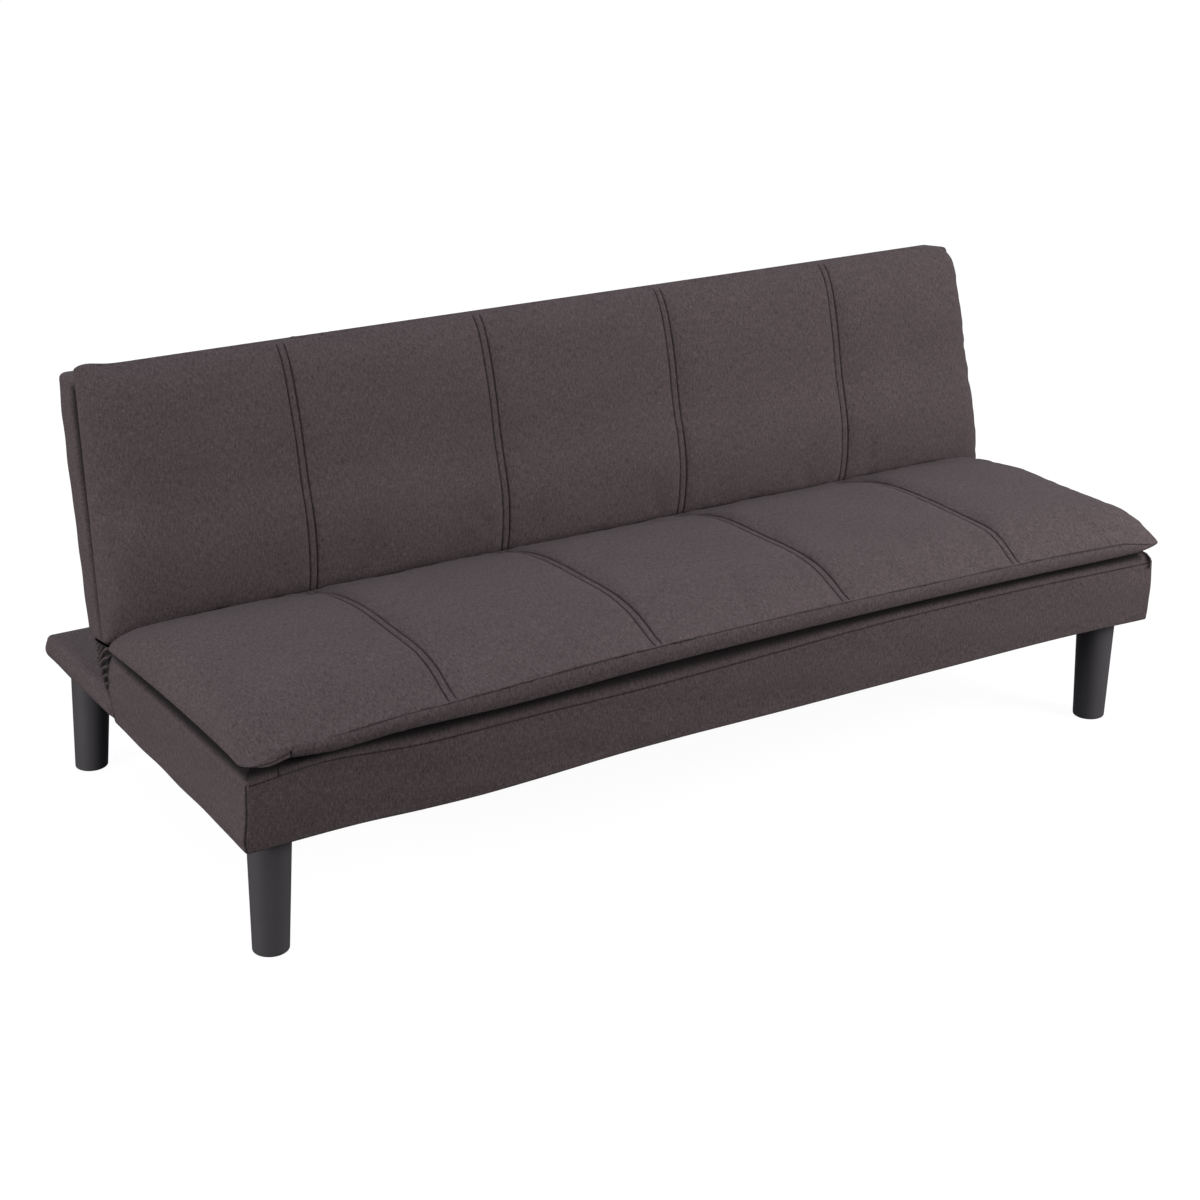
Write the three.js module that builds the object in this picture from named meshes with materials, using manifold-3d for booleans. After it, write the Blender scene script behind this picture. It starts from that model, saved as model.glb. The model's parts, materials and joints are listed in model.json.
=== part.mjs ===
// Click clack sofa bed. Millimetres, Z up from the floor.
// X runs along the sofa, Y from the front of the seat box to the rear.
// The backrest is drawn in its own group, turned about the hinge axis:
// there Y is the way through the board and Z the way up it.
import * as THREE from 'three';
import { mergeVertices } from 'three/addons/utils/BufferGeometryUtils.js';
import Module from 'manifold-3d';

const wasm = await Module();
wasm.setup();

const degree = Math.PI / 180;
const weldDistance = 1e-3;

// Whole sofa
const sofaLength = 1670;
const seatDepth = 517;
const baseDepth = 831;
const undersideHeight = 194;
const seatSeamRise = 102;
const seatShoulderRise = 29;
const seatShoulderInset = 45;
const ledgeThickness = 38;
const fit = 0.3;

// Covers, with the thin wadding under the cloth
const coverThickness = 3;
const hemWidth = 30;
const coverCornerRadius = 9;
const ledgeEdgeRadius = 12;
const boardEdgeRadius = 13;
const dustCoverThickness = 1;
const dustCoverInset = 12;

// Timber frames
const timberThickness = 22;
const seatRailHeight = 92;
const bearerHeight = 50;
const ledgePanelThickness = 4;
const ledgeBearerWidth = 45;
const cornerBlockLength = 78;
const bearerPlaceShares = [-1 / 3, 1 / 3];

// Elastic webbing under the seat and in the back
const webbingThickness = 2;
const webbingWidth = 50;
const webbingSpacing = 180;
const webbingEndInset = 45;

// Legs
const legBottomRadius = 27.2;
const legTopRadius = 32.8;
const legFootRounding = 3;
const legInsetX = 51;
const frontLegSetback = 65;
const rearLegInset = 41;
const hangerBoltRadius = 4;
const hangerBoltInLeg = 42;

// Cushions
const panelCount = 5;
const cushionBorder = 27;
const cushionSideOverhang = 8;
const cushionBulge = 3;
const cushionSideDraw = 5;
const cushionBaseInset = 9;
const panelPuff = 5;
const seamSpacing = 12;
const seamDepth = 3.5;
const seamShoulder = 5;
const seatCushionFrontOverhang = 12;
const seatCushionRearSetback = 47;
const seatCushionCrown = 50;
const backCushionCrown = 46;
const backCushionTopOverhang = 11;
const backCushionBottomRise = 33;
const backCushionSlumpShare = 0.65;
const seatCushionSlumpShare = 0;
const crownPowerAcross = 2.8;
const crownPowerAlong = 18;
const slumpMiddleShare = 0.385;
const cornerShare = 0.99;
const underBeltShare = 1 / 9;

// Backrest board
const backLean = 7 * degree;
const boardHeight = 419;
const boardThickness = 66;
const boardLipWidth = 25;
const bedGap = 2;
const boardSwingClearance = 4;

// Click clack hinge
const hingeSetback = 5;
const hingeRise = 117;
const leafThickness = 3;
const ratchetRadius = 32;
const ratchetDepth = 3;
const rampAngle = 6 * degree;
const noseLead = 3.1 * degree;
const noseClock = 20 * degree;
const forwardPlay = 6 * degree;
const loungeAngle = 45 * degree;
const bedAngle = 90 * degree - backLean;
const pivotRadius = 5;
const pivotHeadRadius = 9;
const rivetHeadThickness = 2.2;
const rivetCrownShare = 0.8;
const seatPocketClearance = 7;
const backPocketRadius = 45;
const pocketWidth = 38;
const backHubRadius = 24;
const seatHubRadius = 22;
const pawlLength = 24;
const pawlRise = 4;
const pawlHubRadius = 7;
const pawlNoseWidth = 2.6;
const pawlNoseHeight = 7;
const pawlHubFromAngle = 80 * degree;
const pawlHubToAngle = 290 * degree;
const pawlPinRadius = 3;
const pawlPinHeadRadius = 6;
const cheekRadius = 11;
const stripWidth = 34;
const stripLength = 160;
const stripStart = 24;
const stripFoot = 30;
const joggleStart = 50;
const joggleLength = 6;
const leafBoltRadius = 4;
const leafBoltHeadRadius = 8;
const leafBoltHeadHeight = 3;
const boltCrownShares = [0.8, 0.6];
const backBoltHeights = [90, 160];
const seatLeafDrop = 47;
const seatLeafReach = 28;
const seatLeafLength = 104;
const seatLeafWidth = 32;
const seatBoltSetbacks = [8, 64];
const springThickness = 1;
const springEyeRadius = 4;
const springLugRadius = 2.5;
const springLugPlace = [50, 40];
const springSteps = 8;

// Gathered cloth behind the hinges
const gussetThickness = 2;
const gussetFootReach = 7;
const gussetFold = 2.2;
const gussetFoldCount = 4;
const gussetEndInset = 2;
const gussetSagPower = 0.85;

const half = sofaLength / 2;
const seamHeight = undersideHeight + seatSeamRise;
const seatTop = seamHeight + seatShoulderRise;
const ledgeTop = undersideHeight + ledgeThickness;
const frameFloor = undersideHeight + coverThickness + fit;
const frameOuterX = half - coverThickness - fit;
const frameInnerX = frameOuterX - timberThickness;
const frameFront = coverThickness + fit;
const seatFrameRear = seatDepth - coverThickness - fit;
const ledgeFrameRear = baseDepth - coverThickness - fit;
const ledgeFrameTop = ledgeTop - coverThickness - fit;
const ledgeRailTop = ledgeTop - ledgeEdgeRadius - fit;
const ledgePanelTop = ledgeRailTop + fit + ledgePanelThickness;
const seatRailTop = frameFloor + seatRailHeight;
const legX = half - legInsetX;
const rearLegY = baseDepth - rearLegInset;
const dustCoverTop = undersideHeight - fit;
const legHeight = dustCoverTop - dustCoverThickness - fit;
const hingeY = seatDepth - hingeSetback;
const hingeZ = undersideHeight + hingeRise;
const boardRear = hingeZ - ledgeTop - bedGap;
const boardFront = boardRear - boardThickness;
const boardBottom = hingeSetback + boardSwingClearance;
const boardTop = boardBottom + boardHeight;
const outerLeafX = frameInnerX - fit;
const innerLeafX = outerLeafX - leafThickness - fit;
const pocketRadius = ratchetRadius + seatPocketClearance;
const pocketOuterX = frameInnerX + pivotRadius;

// Materials, one for each finish
function finish(color, roughness, metalness = 0) {
  return new THREE.MeshStandardMaterial({ color, roughness, metalness });
}

const finishes = {
  taupeCloth: finish(0x4d4547, 0.95),
  blackCloth: finish(0x1d1c1d, 0.95),
  foam: finish(0xd9cfae, 0.9),
  pine: finish(0xc9a877, 0.7),
  plywood: finish(0xb9976a, 0.7),
  webbing: finish(0x2b2a2c, 0.9),
  blackPlastic: finish(0x3a3839, 0.45),
  zincSteel: finish(0xa9abad, 0.4, 0.9),
  springSteel: finish(0x55585c, 0.35, 0.9),
};

// Solids: geometry to manifold and back
function solid(geometry) {
  const bare = new THREE.BufferGeometry();
  bare.setAttribute('position', geometry.getAttribute('position').clone());
  bare.setIndex(geometry.getIndex() ? geometry.getIndex().clone() : null);
  const merged = mergeVertices(bare, weldDistance);
  const vertProperties = new Float32Array(merged.getAttribute('position').array);
  const triVerts = new Uint32Array(merged.getIndex().array);
  return new wasm.Manifold(new wasm.Mesh({ numProp: 3, vertProperties, triVerts }));
}

function geometryOf(body) {
  const mesh = body.getMesh();
  const geometry = new THREE.BufferGeometry();
  geometry.setAttribute('position', new THREE.BufferAttribute(mesh.vertProperties, 3));
  geometry.setIndex(new THREE.BufferAttribute(mesh.triVerts, 1));
  geometry.computeVertexNormals();
  return geometry;
}

function join(first, ...others) {
  return others.reduce((sum, other) => sum.add(other), first);
}

function cut(first, ...others) {
  return others.reduce((rest, other) => rest.subtract(other), first);
}

// A box between two corners
function box(low, high) {
  const size = high.map((value, axis) => value - low[axis]);
  const centre = high.map((value, axis) => (value + low[axis]) / 2);
  return new THREE.BoxGeometry(...size).translate(...centre);
}

// A drawing in the Y and Z plane, pulled along X from one place to another
function acrossX(shape, fromX, toX, curveSegments = 10) {
  const options = { depth: toX - fromX, bevelEnabled: false, curveSegments };
  const geometry = new THREE.ExtrudeGeometry(shape, options);
  const turn = new THREE.Matrix4().set(0, 0, 1, fromX, 1, 0, 0, 0, 0, 1, 0, 0, 0, 0, 0, 1);
  return geometry.applyMatrix4(turn);
}

// A drawing in the X and Y plane, pulled up from one height to another
function upwards(shape, fromZ, toZ, curveSegments = 8) {
  const options = { depth: toZ - fromZ, bevelEnabled: false, curveSegments };
  return new THREE.ExtrudeGeometry(shape, options).translate(0, 0, fromZ);
}

function polygon(points) {
  return new THREE.Shape(points.map(([x, y]) => new THREE.Vector2(x, y)));
}

// A rail's outline seen end to end, with the two corners on its outer edge cut off
function railOutline(endX, outerEdge, innerEdge) {
  const corner = coverCornerRadius * 2 / 3;
  const inwards = Math.sign(innerEdge - outerEdge) * corner;
  return [[-endX, outerEdge + inwards], [-endX + corner, outerEdge], [endX - corner, outerEdge],
    [endX, outerEdge + inwards], [endX, innerEdge], [-endX, innerEdge]];
}

function circle(x, y, radius) {
  const shape = new THREE.Shape();
  shape.absarc(x, y, radius, 0, 2 * Math.PI, false);
  return shape;
}

function roundHole(shape, x, y, radius) {
  const hole = new THREE.Path();
  hole.absarc(x, y, radius, 0, 2 * Math.PI, true);
  shape.holes.push(hole);
}

// Two discs and the plate between their tangents
function link(a, aRadius, b, bRadius) {
  const shape = new THREE.Shape();
  const along = Math.atan2(b[1] - a[1], b[0] - a[0]);
  const spread = Math.acos((aRadius - bRadius) / Math.hypot(b[0] - a[0], b[1] - a[1]));
  shape.absarc(a[0], a[1], aRadius, along + spread, along - spread + 2 * Math.PI, false);
  shape.absarc(b[0], b[1], bRadius, along - spread, along + spread, false);
  shape.closePath();
  return shape;
}

// A turned piece whose axis lies along X: the profile holds [place along X, radius]
function turnedAlongX(profile, y, z, segments = 16) {
  const points = profile.map(([place, radius]) => new THREE.Vector2(radius, place));
  const geometry = new THREE.LatheGeometry(points, segments);
  return geometry.rotateZ(-Math.PI / 2).translate(0, y, z);
}

// A turned piece whose axis is upright: the profile holds [radius, height]
function turnedUpright(profile, x, y, segments = 20) {
  const points = profile.map(([radius, height]) => new THREE.Vector2(radius, height));
  return new THREE.LatheGeometry(points, segments).rotateX(Math.PI / 2).translate(x, y, 0);
}

// Turns a closed surface right side out
function facingOut(positions, triangles) {
  let volume = 0;
  const corner = (index) => new THREE.Vector3(...positions[index]);
  for (const [a, b, c] of triangles) volume += corner(a).dot(corner(b).cross(corner(c)));
  const order = volume < 0 ? triangles.map(([a, b, c]) => [a, c, b]) : triangles;
  const geometry = new THREE.BufferGeometry();
  geometry.setAttribute('position', new THREE.Float32BufferAttribute(positions.flat(), 3));
  geometry.setIndex(order.flat());
  geometry.computeVertexNormals();
  return geometry;
}

// A surface through closed rings of points, with a flat fan on the first and the last
function skin(rings) {
  const count = rings[0].length;
  const positions = rings.flat();
  const triangles = [];
  for (let row = 0; row + 1 < rings.length; row += 1) {
    for (let step = 0; step < count; step += 1) {
      const next = (step + 1) % count;
      const [a, b] = [row * count + step, row * count + next];
      triangles.push([a, b, b + count], [a, b + count, a + count]);
    }
  }
  for (const [row, flipped] of [[0, true], [rings.length - 1, false]]) {
    const middle = rings[row].reduce((sum, point) => sum.map((v, k) => v + point[k] / count), [0, 0, 0]);
    const centre = positions.push(middle) - 1;
    for (let step = 0; step < count; step += 1) {
      const [a, b] = [row * count + step, row * count + ((step + 1) % count)];
      triangles.push(flipped ? [centre, b, a] : [centre, a, b]);
    }
  }
  return facingOut(positions, triangles);
}

// A rectangle with round corners, drawn in from its full size
function roundedRing(low, high, inset, radius, level, arcSteps = 4) {
  const least = coverThickness / 4;
  const round = Math.max(radius - inset, least);
  const [x0, y0] = [low[0] + inset + round, low[1] + inset + round];
  const [x1, y1] = [high[0] - inset - round, high[1] - inset - round];
  const corners = [[x1, y1, 0], [x0, y1, 1], [x0, y0, 2], [x1, y0, 3]];
  return corners.flatMap(([x, y, quarter]) => Array.from({ length: arcSteps + 1 }, (_, step) => {
    const angle = (quarter + step / arcSteps) * Math.PI / 2;
    return [x + round * Math.cos(angle), y + round * Math.sin(angle), level];
  }));
}

// The same profile one wall further in: points hold [inset, level]
function innerProfile(profile, wall) {
  const normals = profile.slice(1).map(([inset, level], index) => {
    const [dx, dy] = [inset - profile[index][0], level - profile[index][1]];
    return [-dy / Math.hypot(dx, dy), dx / Math.hypot(dx, dy)];
  });
  return profile.map(([inset, level], index) => {
    const a = normals[Math.max(index - 1, 0)];
    const b = normals[Math.min(index, normals.length - 1)];
    const lean = 1 + a[0] * b[0] + a[1] * b[1];
    return [inset + wall * (a[0] + b[0]) / lean, level + wall * (a[1] + b[1]) / lean];
  });
}

// A sewn cover: a closed face, a wall all round and a hem turned in at its open side
function sewnCover(low, high, profile, wall) {
  const inner = innerProfile(profile, wall).reverse();
  const ring = ([inset, level]) => roundedRing(low, high, inset, coverCornerRadius, level);
  return skin([...profile, ...inner].map(ring));
}

// A quarter round from one face to the next: insets and levels of a cover's edge
function edgeRound(radius, level, towards, steps = 3) {
  return Array.from({ length: steps + 1 }, (_, step) => {
    const angle = step / steps * Math.PI / 2;
    return [radius * (1 - Math.sin(angle)), level - towards * radius * (1 - Math.cos(angle))];
  });
}

// Pockets round both hinges, kept clear in the pieces that they pass through
function hingePockets(y, z, radius) {
  return [-1, 1].map((side) => {
    const ends = [side * pocketOuterX, side * (pocketOuterX - pocketWidth)].sort((a, b) => a - b);
    return solid(acrossX(circle(y, z, radius), ...ends, 16));
  });
}

// A cushion: crowned top, five sewn panels, drawn in sides and a flat underside.
// It lies with its underside at zero, its length along X and its depth along Y.
function seamedColumns(halfLength) {
  const panel = 2 * halfLength / panelCount;
  const columns = [];
  for (let index = 0; index < panelCount; index += 1) {
    const start = -halfLength + index * panel;
    const insideShares = index === 0 ? [0, 0.035, 0.1, 0.25, 0.5, 0.75]
      : index === panelCount - 1 ? [0.25, 0.5, 0.75, 0.9, 0.965, 1] : [0.25, 0.5, 0.75];
    columns.push(...insideShares.map((share) => ({ x: start + share * panel, share, pinch: 0 })));
    if (index === panelCount - 1) continue;
    const seam = start + panel;
    const pinches = [[-seamSpacing / 2 - seamShoulder, 0], [-seamSpacing / 2, seamDepth],
      [0, seamDepth / 3], [seamSpacing / 2, seamDepth], [seamSpacing / 2 + seamShoulder, 0]];
    columns.push(...pinches.map(([offset, pinch]) => ({ x: seam + offset, share: 0, pinch })));
  }
  return columns;
}

function cushion(halfLength, depth, border, crown, slumpShare) {
  const rowShares = [0, 0.015, 0.05, 0.12, 0.24, 0.4, 0.6, 0.76, 0.88, 0.95, 0.985, 1];
  const columns = seamedColumns(halfLength);
  const wide = columns.length;
  const positions = [];
  for (const share of rowShares) {
    const across = Math.sqrt(1 - Math.abs(2 * share - 1) ** crownPowerAcross);
    const slump = 1 + slumpShare * (slumpMiddleShare - share);
    const draw = cushionSideDraw * (1 - (2 * share - 1) ** 2) / halfLength;
    for (const column of columns) {
      const along = Math.sqrt(Math.max(0, 1 - Math.abs(column.x / halfLength) ** crownPowerAlong));
      const puff = panelPuff * Math.sqrt(4 * column.share * (1 - column.share));
      const rise = (crown * slump + puff - column.pinch) * across * along;
      positions.push([column.x * (1 - draw), share * depth, border + rise]);
    }
  }
  const triangles = [];
  for (let row = 0; row + 1 < rowShares.length; row += 1) {
    for (let column = 0; column + 1 < wide; column += 1) {
      const corner = row * wide + column;
      triangles.push([corner, corner + 1, corner + wide + 1], [corner, corner + wide + 1, corner + wide]);
    }
  }
  const last = (rowShares.length - 1) * wide;
  let edge = [
    ...columns.map((_, index) => index).slice(0, -1),
    ...rowShares.map((_, row) => row * wide + wide - 1).slice(0, -1),
    ...columns.map((_, index) => last + wide - 1 - index).slice(0, -1),
    ...rowShares.map((_, row) => last - row * wide).slice(0, -1),
  ];
  const rim = edge.map((index) => positions[index]);
  const middle = [0, depth / 2];
  const offsetRim = (outwards, level) => rim.map(([x, y]) => {
    const endX = Math.min(1, Math.abs(x) / (halfLength - cushionSideDraw));
    const nearEnd = endX > cornerShare ? Math.sign(x) : 0;
    const nearSide = y === 0 || y === depth ? Math.sign(y - middle[1]) : 0;
    return [x + outwards * nearEnd, y + outwards * nearSide, level];
  });
  const belts = [offsetRim(cushionBulge, border / 2),
    offsetRim(-cushionBaseInset / 2, border * underBeltShare), offsetRim(-cushionBaseInset, 0)];
  for (const belt of belts) {
    const start = positions.length;
    positions.push(...belt);
    const lower = belt.map((_, index) => start + index);
    edge.forEach((a, index) => {
      const next = (index + 1) % edge.length;
      triangles.push([edge[next], a, lower[index]], [edge[next], lower[index], lower[next]]);
    });
    edge = lower;
  }
  const floorCentre = positions.push([...middle, 0]) - 1;
  edge.forEach((a, index) => triangles.push([floorCentre, edge[(index + 1) % edge.length], a]));
  return facingOut(positions, triangles);
}

// Elastic webbing: straps both ways, woven into one lattice
function webbing(halfLength, fromY, toY, fromZ) {
  const [runX, runY] = [2 * halfLength - webbingWidth, toY - fromY - webbingWidth];
  const [gapsX, gapsY] = [runX, runY].map((run) => Math.max(1, Math.round(run / webbingSpacing)));
  const toZ = fromZ + webbingThickness;
  const across = Array.from({ length: gapsX + 1 }, (_, index) => {
    const x = -halfLength + index * runX / gapsX;
    return box([x, fromY, fromZ], [x + webbingWidth, toY, toZ]);
  });
  const along = Array.from({ length: gapsY + 1 }, (_, index) => {
    const y = fromY + index * runY / gapsY;
    return box([-halfLength, y, fromZ], [halfLength, y + webbingWidth, toZ]);
  });
  return geometryOf(join(...[...across, ...along].map(solid)));
}

// Scene graph
const sofa = new THREE.Group();
const back = new THREE.Group();
back.position.set(0, hingeY, hingeZ);
back.rotation.x = -backLean;
sofa.add(back);

function place(group, name, geometry, material) {
  const mesh = new THREE.Mesh(geometry, material);
  mesh.name = name;
  group.add(mesh);
  return mesh;
}

const sides = [['left', -1], ['right', 1]];

function between(side, a, b) {
  return [side * a, side * b].sort((first, second) => first - second);
}

// Legs, each on a hanger bolt in a block glued into the corner of the base frame
function leg() {
  const bore = hangerBoltRadius + fit;
  const boreFloor = legHeight - hangerBoltInLeg - fit;
  return turnedUpright([[0, 0], [legBottomRadius - legFootRounding, 0],
    [legBottomRadius - legFootRounding / 3, legFootRounding / 3], [legBottomRadius, legFootRounding],
    [legTopRadius, legHeight], [bore, legHeight], [bore, boreFloor], [0, boreFloor]], 0, 0, 24);
}

function buildLegs() {
  const blockTop = ledgeRailTop;
  const corners = [['front', frontLegSetback, frameFront + timberThickness + fit, 1],
    ['rear', rearLegY, ledgeFrameRear - timberThickness - fit, -1]];
  for (const [end, legY, blockFrom, inwards] of corners) {
    for (const [sideName, side] of sides) {
      const legMesh = place(sofa, `${end}_leg_${sideName}`, leg(), finishes.blackPlastic);
      legMesh.position.set(side * legX, legY, 0);
      const boltFoot = legHeight - hangerBoltInLeg;
      const bolt = turnedUpright([[0, boltFoot], [hangerBoltRadius, boltFoot],
        [hangerBoltRadius, blockTop], [0, blockTop]], side * legX, legY, 12);
      place(sofa, `${end}_leg_bolt_${sideName}`, bolt, finishes.zincSteel);
      const [x0, x1] = between(side, frameInnerX - fit, frameInnerX - fit - cornerBlockLength);
      const [y0, y1] = [blockFrom, blockFrom + inwards * cornerBlockLength].sort((a, b) => a - b);
      const block = polygon([[x0, y0], [x1, y0], [x1, y1], [x0, y1]]);
      roundHole(block, side * legX, legY, hangerBoltRadius + fit);
      place(sofa, `${end}_corner_block_${sideName}`, upwards(block, frameFloor, blockTop), finishes.pine);
    }
  }
}

// Base frame: side boards that run the whole depth, with rails and bearers between them
function buildBaseFrame() {
  const front = polygon(railOutline(frameOuterX, frameFront, frameFront + timberThickness));
  place(sofa, 'seat_front_rail', upwards(front, frameFloor, seatRailTop), finishes.pine);

  const boardFrom = frameFront + timberThickness + fit;
  const boardTo = ledgeFrameRear - timberThickness - fit;
  const tallTo = seatDepth - coverCornerRadius;
  for (const [sideName, side] of sides) {
    const outline = polygon([[boardFrom, frameFloor], [boardTo, frameFloor],
      [boardTo, ledgeRailTop], [tallTo, ledgeRailTop],
      [tallTo, seatRailTop], [boardFrom, seatRailTop]]);
    for (const [y, z] of seatBoltPlaces()) roundHole(outline, y, z, leafBoltRadius + fit);
    const board = acrossX(outline, ...between(side, frameInnerX, frameOuterX));
    place(sofa, `base_side_board_${sideName}`, board, finishes.plywood);
  }

  const railEnd = frameInnerX - fit;
  const notchEnd = innerLeafX - leafThickness - rivetHeadThickness - 2 * fit;
  const notchFloor = hingeZ - seatLeafDrop - seatLeafWidth;
  const rear = polygon([[-railEnd, frameFloor], [railEnd, frameFloor], [railEnd, notchFloor],
    [notchEnd, notchFloor], [notchEnd, seatRailTop], [-notchEnd, seatRailTop],
    [-notchEnd, notchFloor], [-railEnd, notchFloor]]);
  const rearRail = new THREE.ExtrudeGeometry(rear, { depth: timberThickness, bevelEnabled: false })
    .rotateX(Math.PI / 2).translate(0, seatFrameRear, 0);
  place(sofa, 'seat_rear_rail', rearRail, finishes.pine);

  bearerPlaceShares.forEach((share, index) => {
    const x = share * half;
    const bearer = box([x - timberThickness / 2, boardFrom, frameFloor],
      [x + timberThickness / 2, seatFrameRear - timberThickness - fit, frameFloor + bearerHeight]);
    place(sofa, `seat_bearer_${index + 1}`, bearer, finishes.pine);
  });

  const ledgeRail = polygon(railOutline(frameOuterX, ledgeFrameRear, ledgeFrameRear - timberThickness));
  place(sofa, 'ledge_rear_rail', upwards(ledgeRail, frameFloor, ledgeRailTop), finishes.pine);
  bearerPlaceShares.forEach((share, index) => {
    const x = share * half;
    const bearer = box([x - ledgeBearerWidth / 2, seatFrameRear + fit, frameFloor],
      [x + ledgeBearerWidth / 2, boardTo, ledgeRailTop]);
    place(sofa, `ledge_bearer_${index + 1}`, bearer, finishes.pine);
  });
  const panelEdge = ledgeEdgeRadius / 3;
  const panel = box([-frameOuterX + panelEdge, seatDepth + fit, ledgeRailTop + fit],
    [frameOuterX - panelEdge, ledgeFrameRear - panelEdge, ledgePanelTop]);
  place(sofa, 'ledge_panel', panel, finishes.plywood);
  const wadding = box([-half + ledgeEdgeRadius, seatDepth + coverThickness + 2 * fit, ledgePanelTop + fit],
    [half - ledgeEdgeRadius, baseDepth - ledgeEdgeRadius, ledgeFrameTop]);
  place(sofa, 'ledge_wadding', wadding, finishes.foam);
}

// Seat: webbing on the rails, a foam slab, the sewn box cover and the cushion on top
function boxProfile() {
  const shoulderShares = [[1, 1], [0.62, 0.9], [0.27, 0.69], [0.05, 0.34], [0, 0]];
  const shoulder = shoulderShares.map(([across, up]) => [across * seatShoulderInset,
    seamHeight + up * seatShoulderRise]);
  return [...shoulder, [0, undersideHeight + coverThickness],
    [coverThickness / 3, undersideHeight + coverThickness / 3],
    [coverThickness, undersideHeight], [hemWidth, undersideHeight]];
}

function buildSeat() {
  const straps = webbing(frameInnerX - webbingEndInset, frameFront + timberThickness / 4,
    seatFrameRear - timberThickness / 4, seatRailTop + fit);
  place(sofa, 'seat_webbing', straps, finishes.webbing);

  const pockets = hingePockets(hingeY, hingeZ, pocketRadius);
  const profile = boxProfile();
  const cover = solid(sewnCover([-half, 0], [half, seatDepth], profile, coverThickness));
  const passage = solid(box([-half + coverThickness, seatDepth - coverCornerRadius - fit, 0],
    [half - coverThickness, baseDepth, ledgeTop + fit]));
  place(sofa, 'seat_box_cover', geometryOf(cut(cover, passage, ...pockets)), finishes.taupeCloth);

  const foamFloor = seatRailTop + webbingThickness + 2 * fit;
  const foamProfile = innerProfile(profile, coverThickness + fit).slice(0, 4)
    .filter(([, level]) => level > foamFloor);
  const foamRings = [...foamProfile, [foamProfile[foamProfile.length - 1][0], foamFloor]];
  const foam = skin(foamRings.map(([inset, level]) => roundedRing([-half, 0], [half, seatDepth], inset,
    coverCornerRadius, level)));
  place(sofa, 'seat_foam_slab', geometryOf(cut(solid(foam), ...pockets)), finishes.foam);

  const halfLength = half + cushionSideOverhang;
  const depth = seatDepth + seatCushionFrontOverhang - seatCushionRearSetback;
  const pad = cushion(halfLength, depth, cushionBorder, seatCushionCrown, seatCushionSlumpShare);
  const padMesh = place(sofa, 'seat_cushion', pad, finishes.taupeCloth);
  padMesh.position.set(0, -seatCushionFrontOverhang, seatTop + fit);
}

// Ledge cover and the thin cloth that closes the underside
function buildLedgeCovers() {
  const profile = [...edgeRound(ledgeEdgeRadius, ledgeTop, 1), [0, undersideHeight + coverThickness],
    [coverThickness / 3, undersideHeight + coverThickness / 3],
    [coverThickness, undersideHeight], [hemWidth, undersideHeight]];
  const front = seatDepth + fit;
  const cover = solid(sewnCover([-half, front], [half, baseDepth], profile, coverThickness));
  const passage = solid(box([-half + coverThickness, 0, undersideHeight - coverThickness],
    [half - coverThickness, front + hemWidth, ledgeTop - coverThickness]));
  place(sofa, 'ledge_cover', geometryOf(cut(cover, passage)), finishes.taupeCloth);

  const [edgeX, nearY, farY] = [half - dustCoverInset, dustCoverInset, baseDepth - dustCoverInset];
  const sheet = polygon([[-edgeX, nearY], [edgeX, nearY], [edgeX, farY], [-edgeX, farY]]);
  for (const [, side] of sides) {
    roundHole(sheet, side * legX, frontLegSetback, hangerBoltRadius + fit);
    roundHole(sheet, side * legX, rearLegY, hangerBoltRadius + fit);
  }
  const cloth = upwards(sheet, dustCoverTop - dustCoverThickness, dustCoverTop, 5);
  place(sofa, 'underside_dust_cover', cloth, finishes.blackCloth);
}

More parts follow.
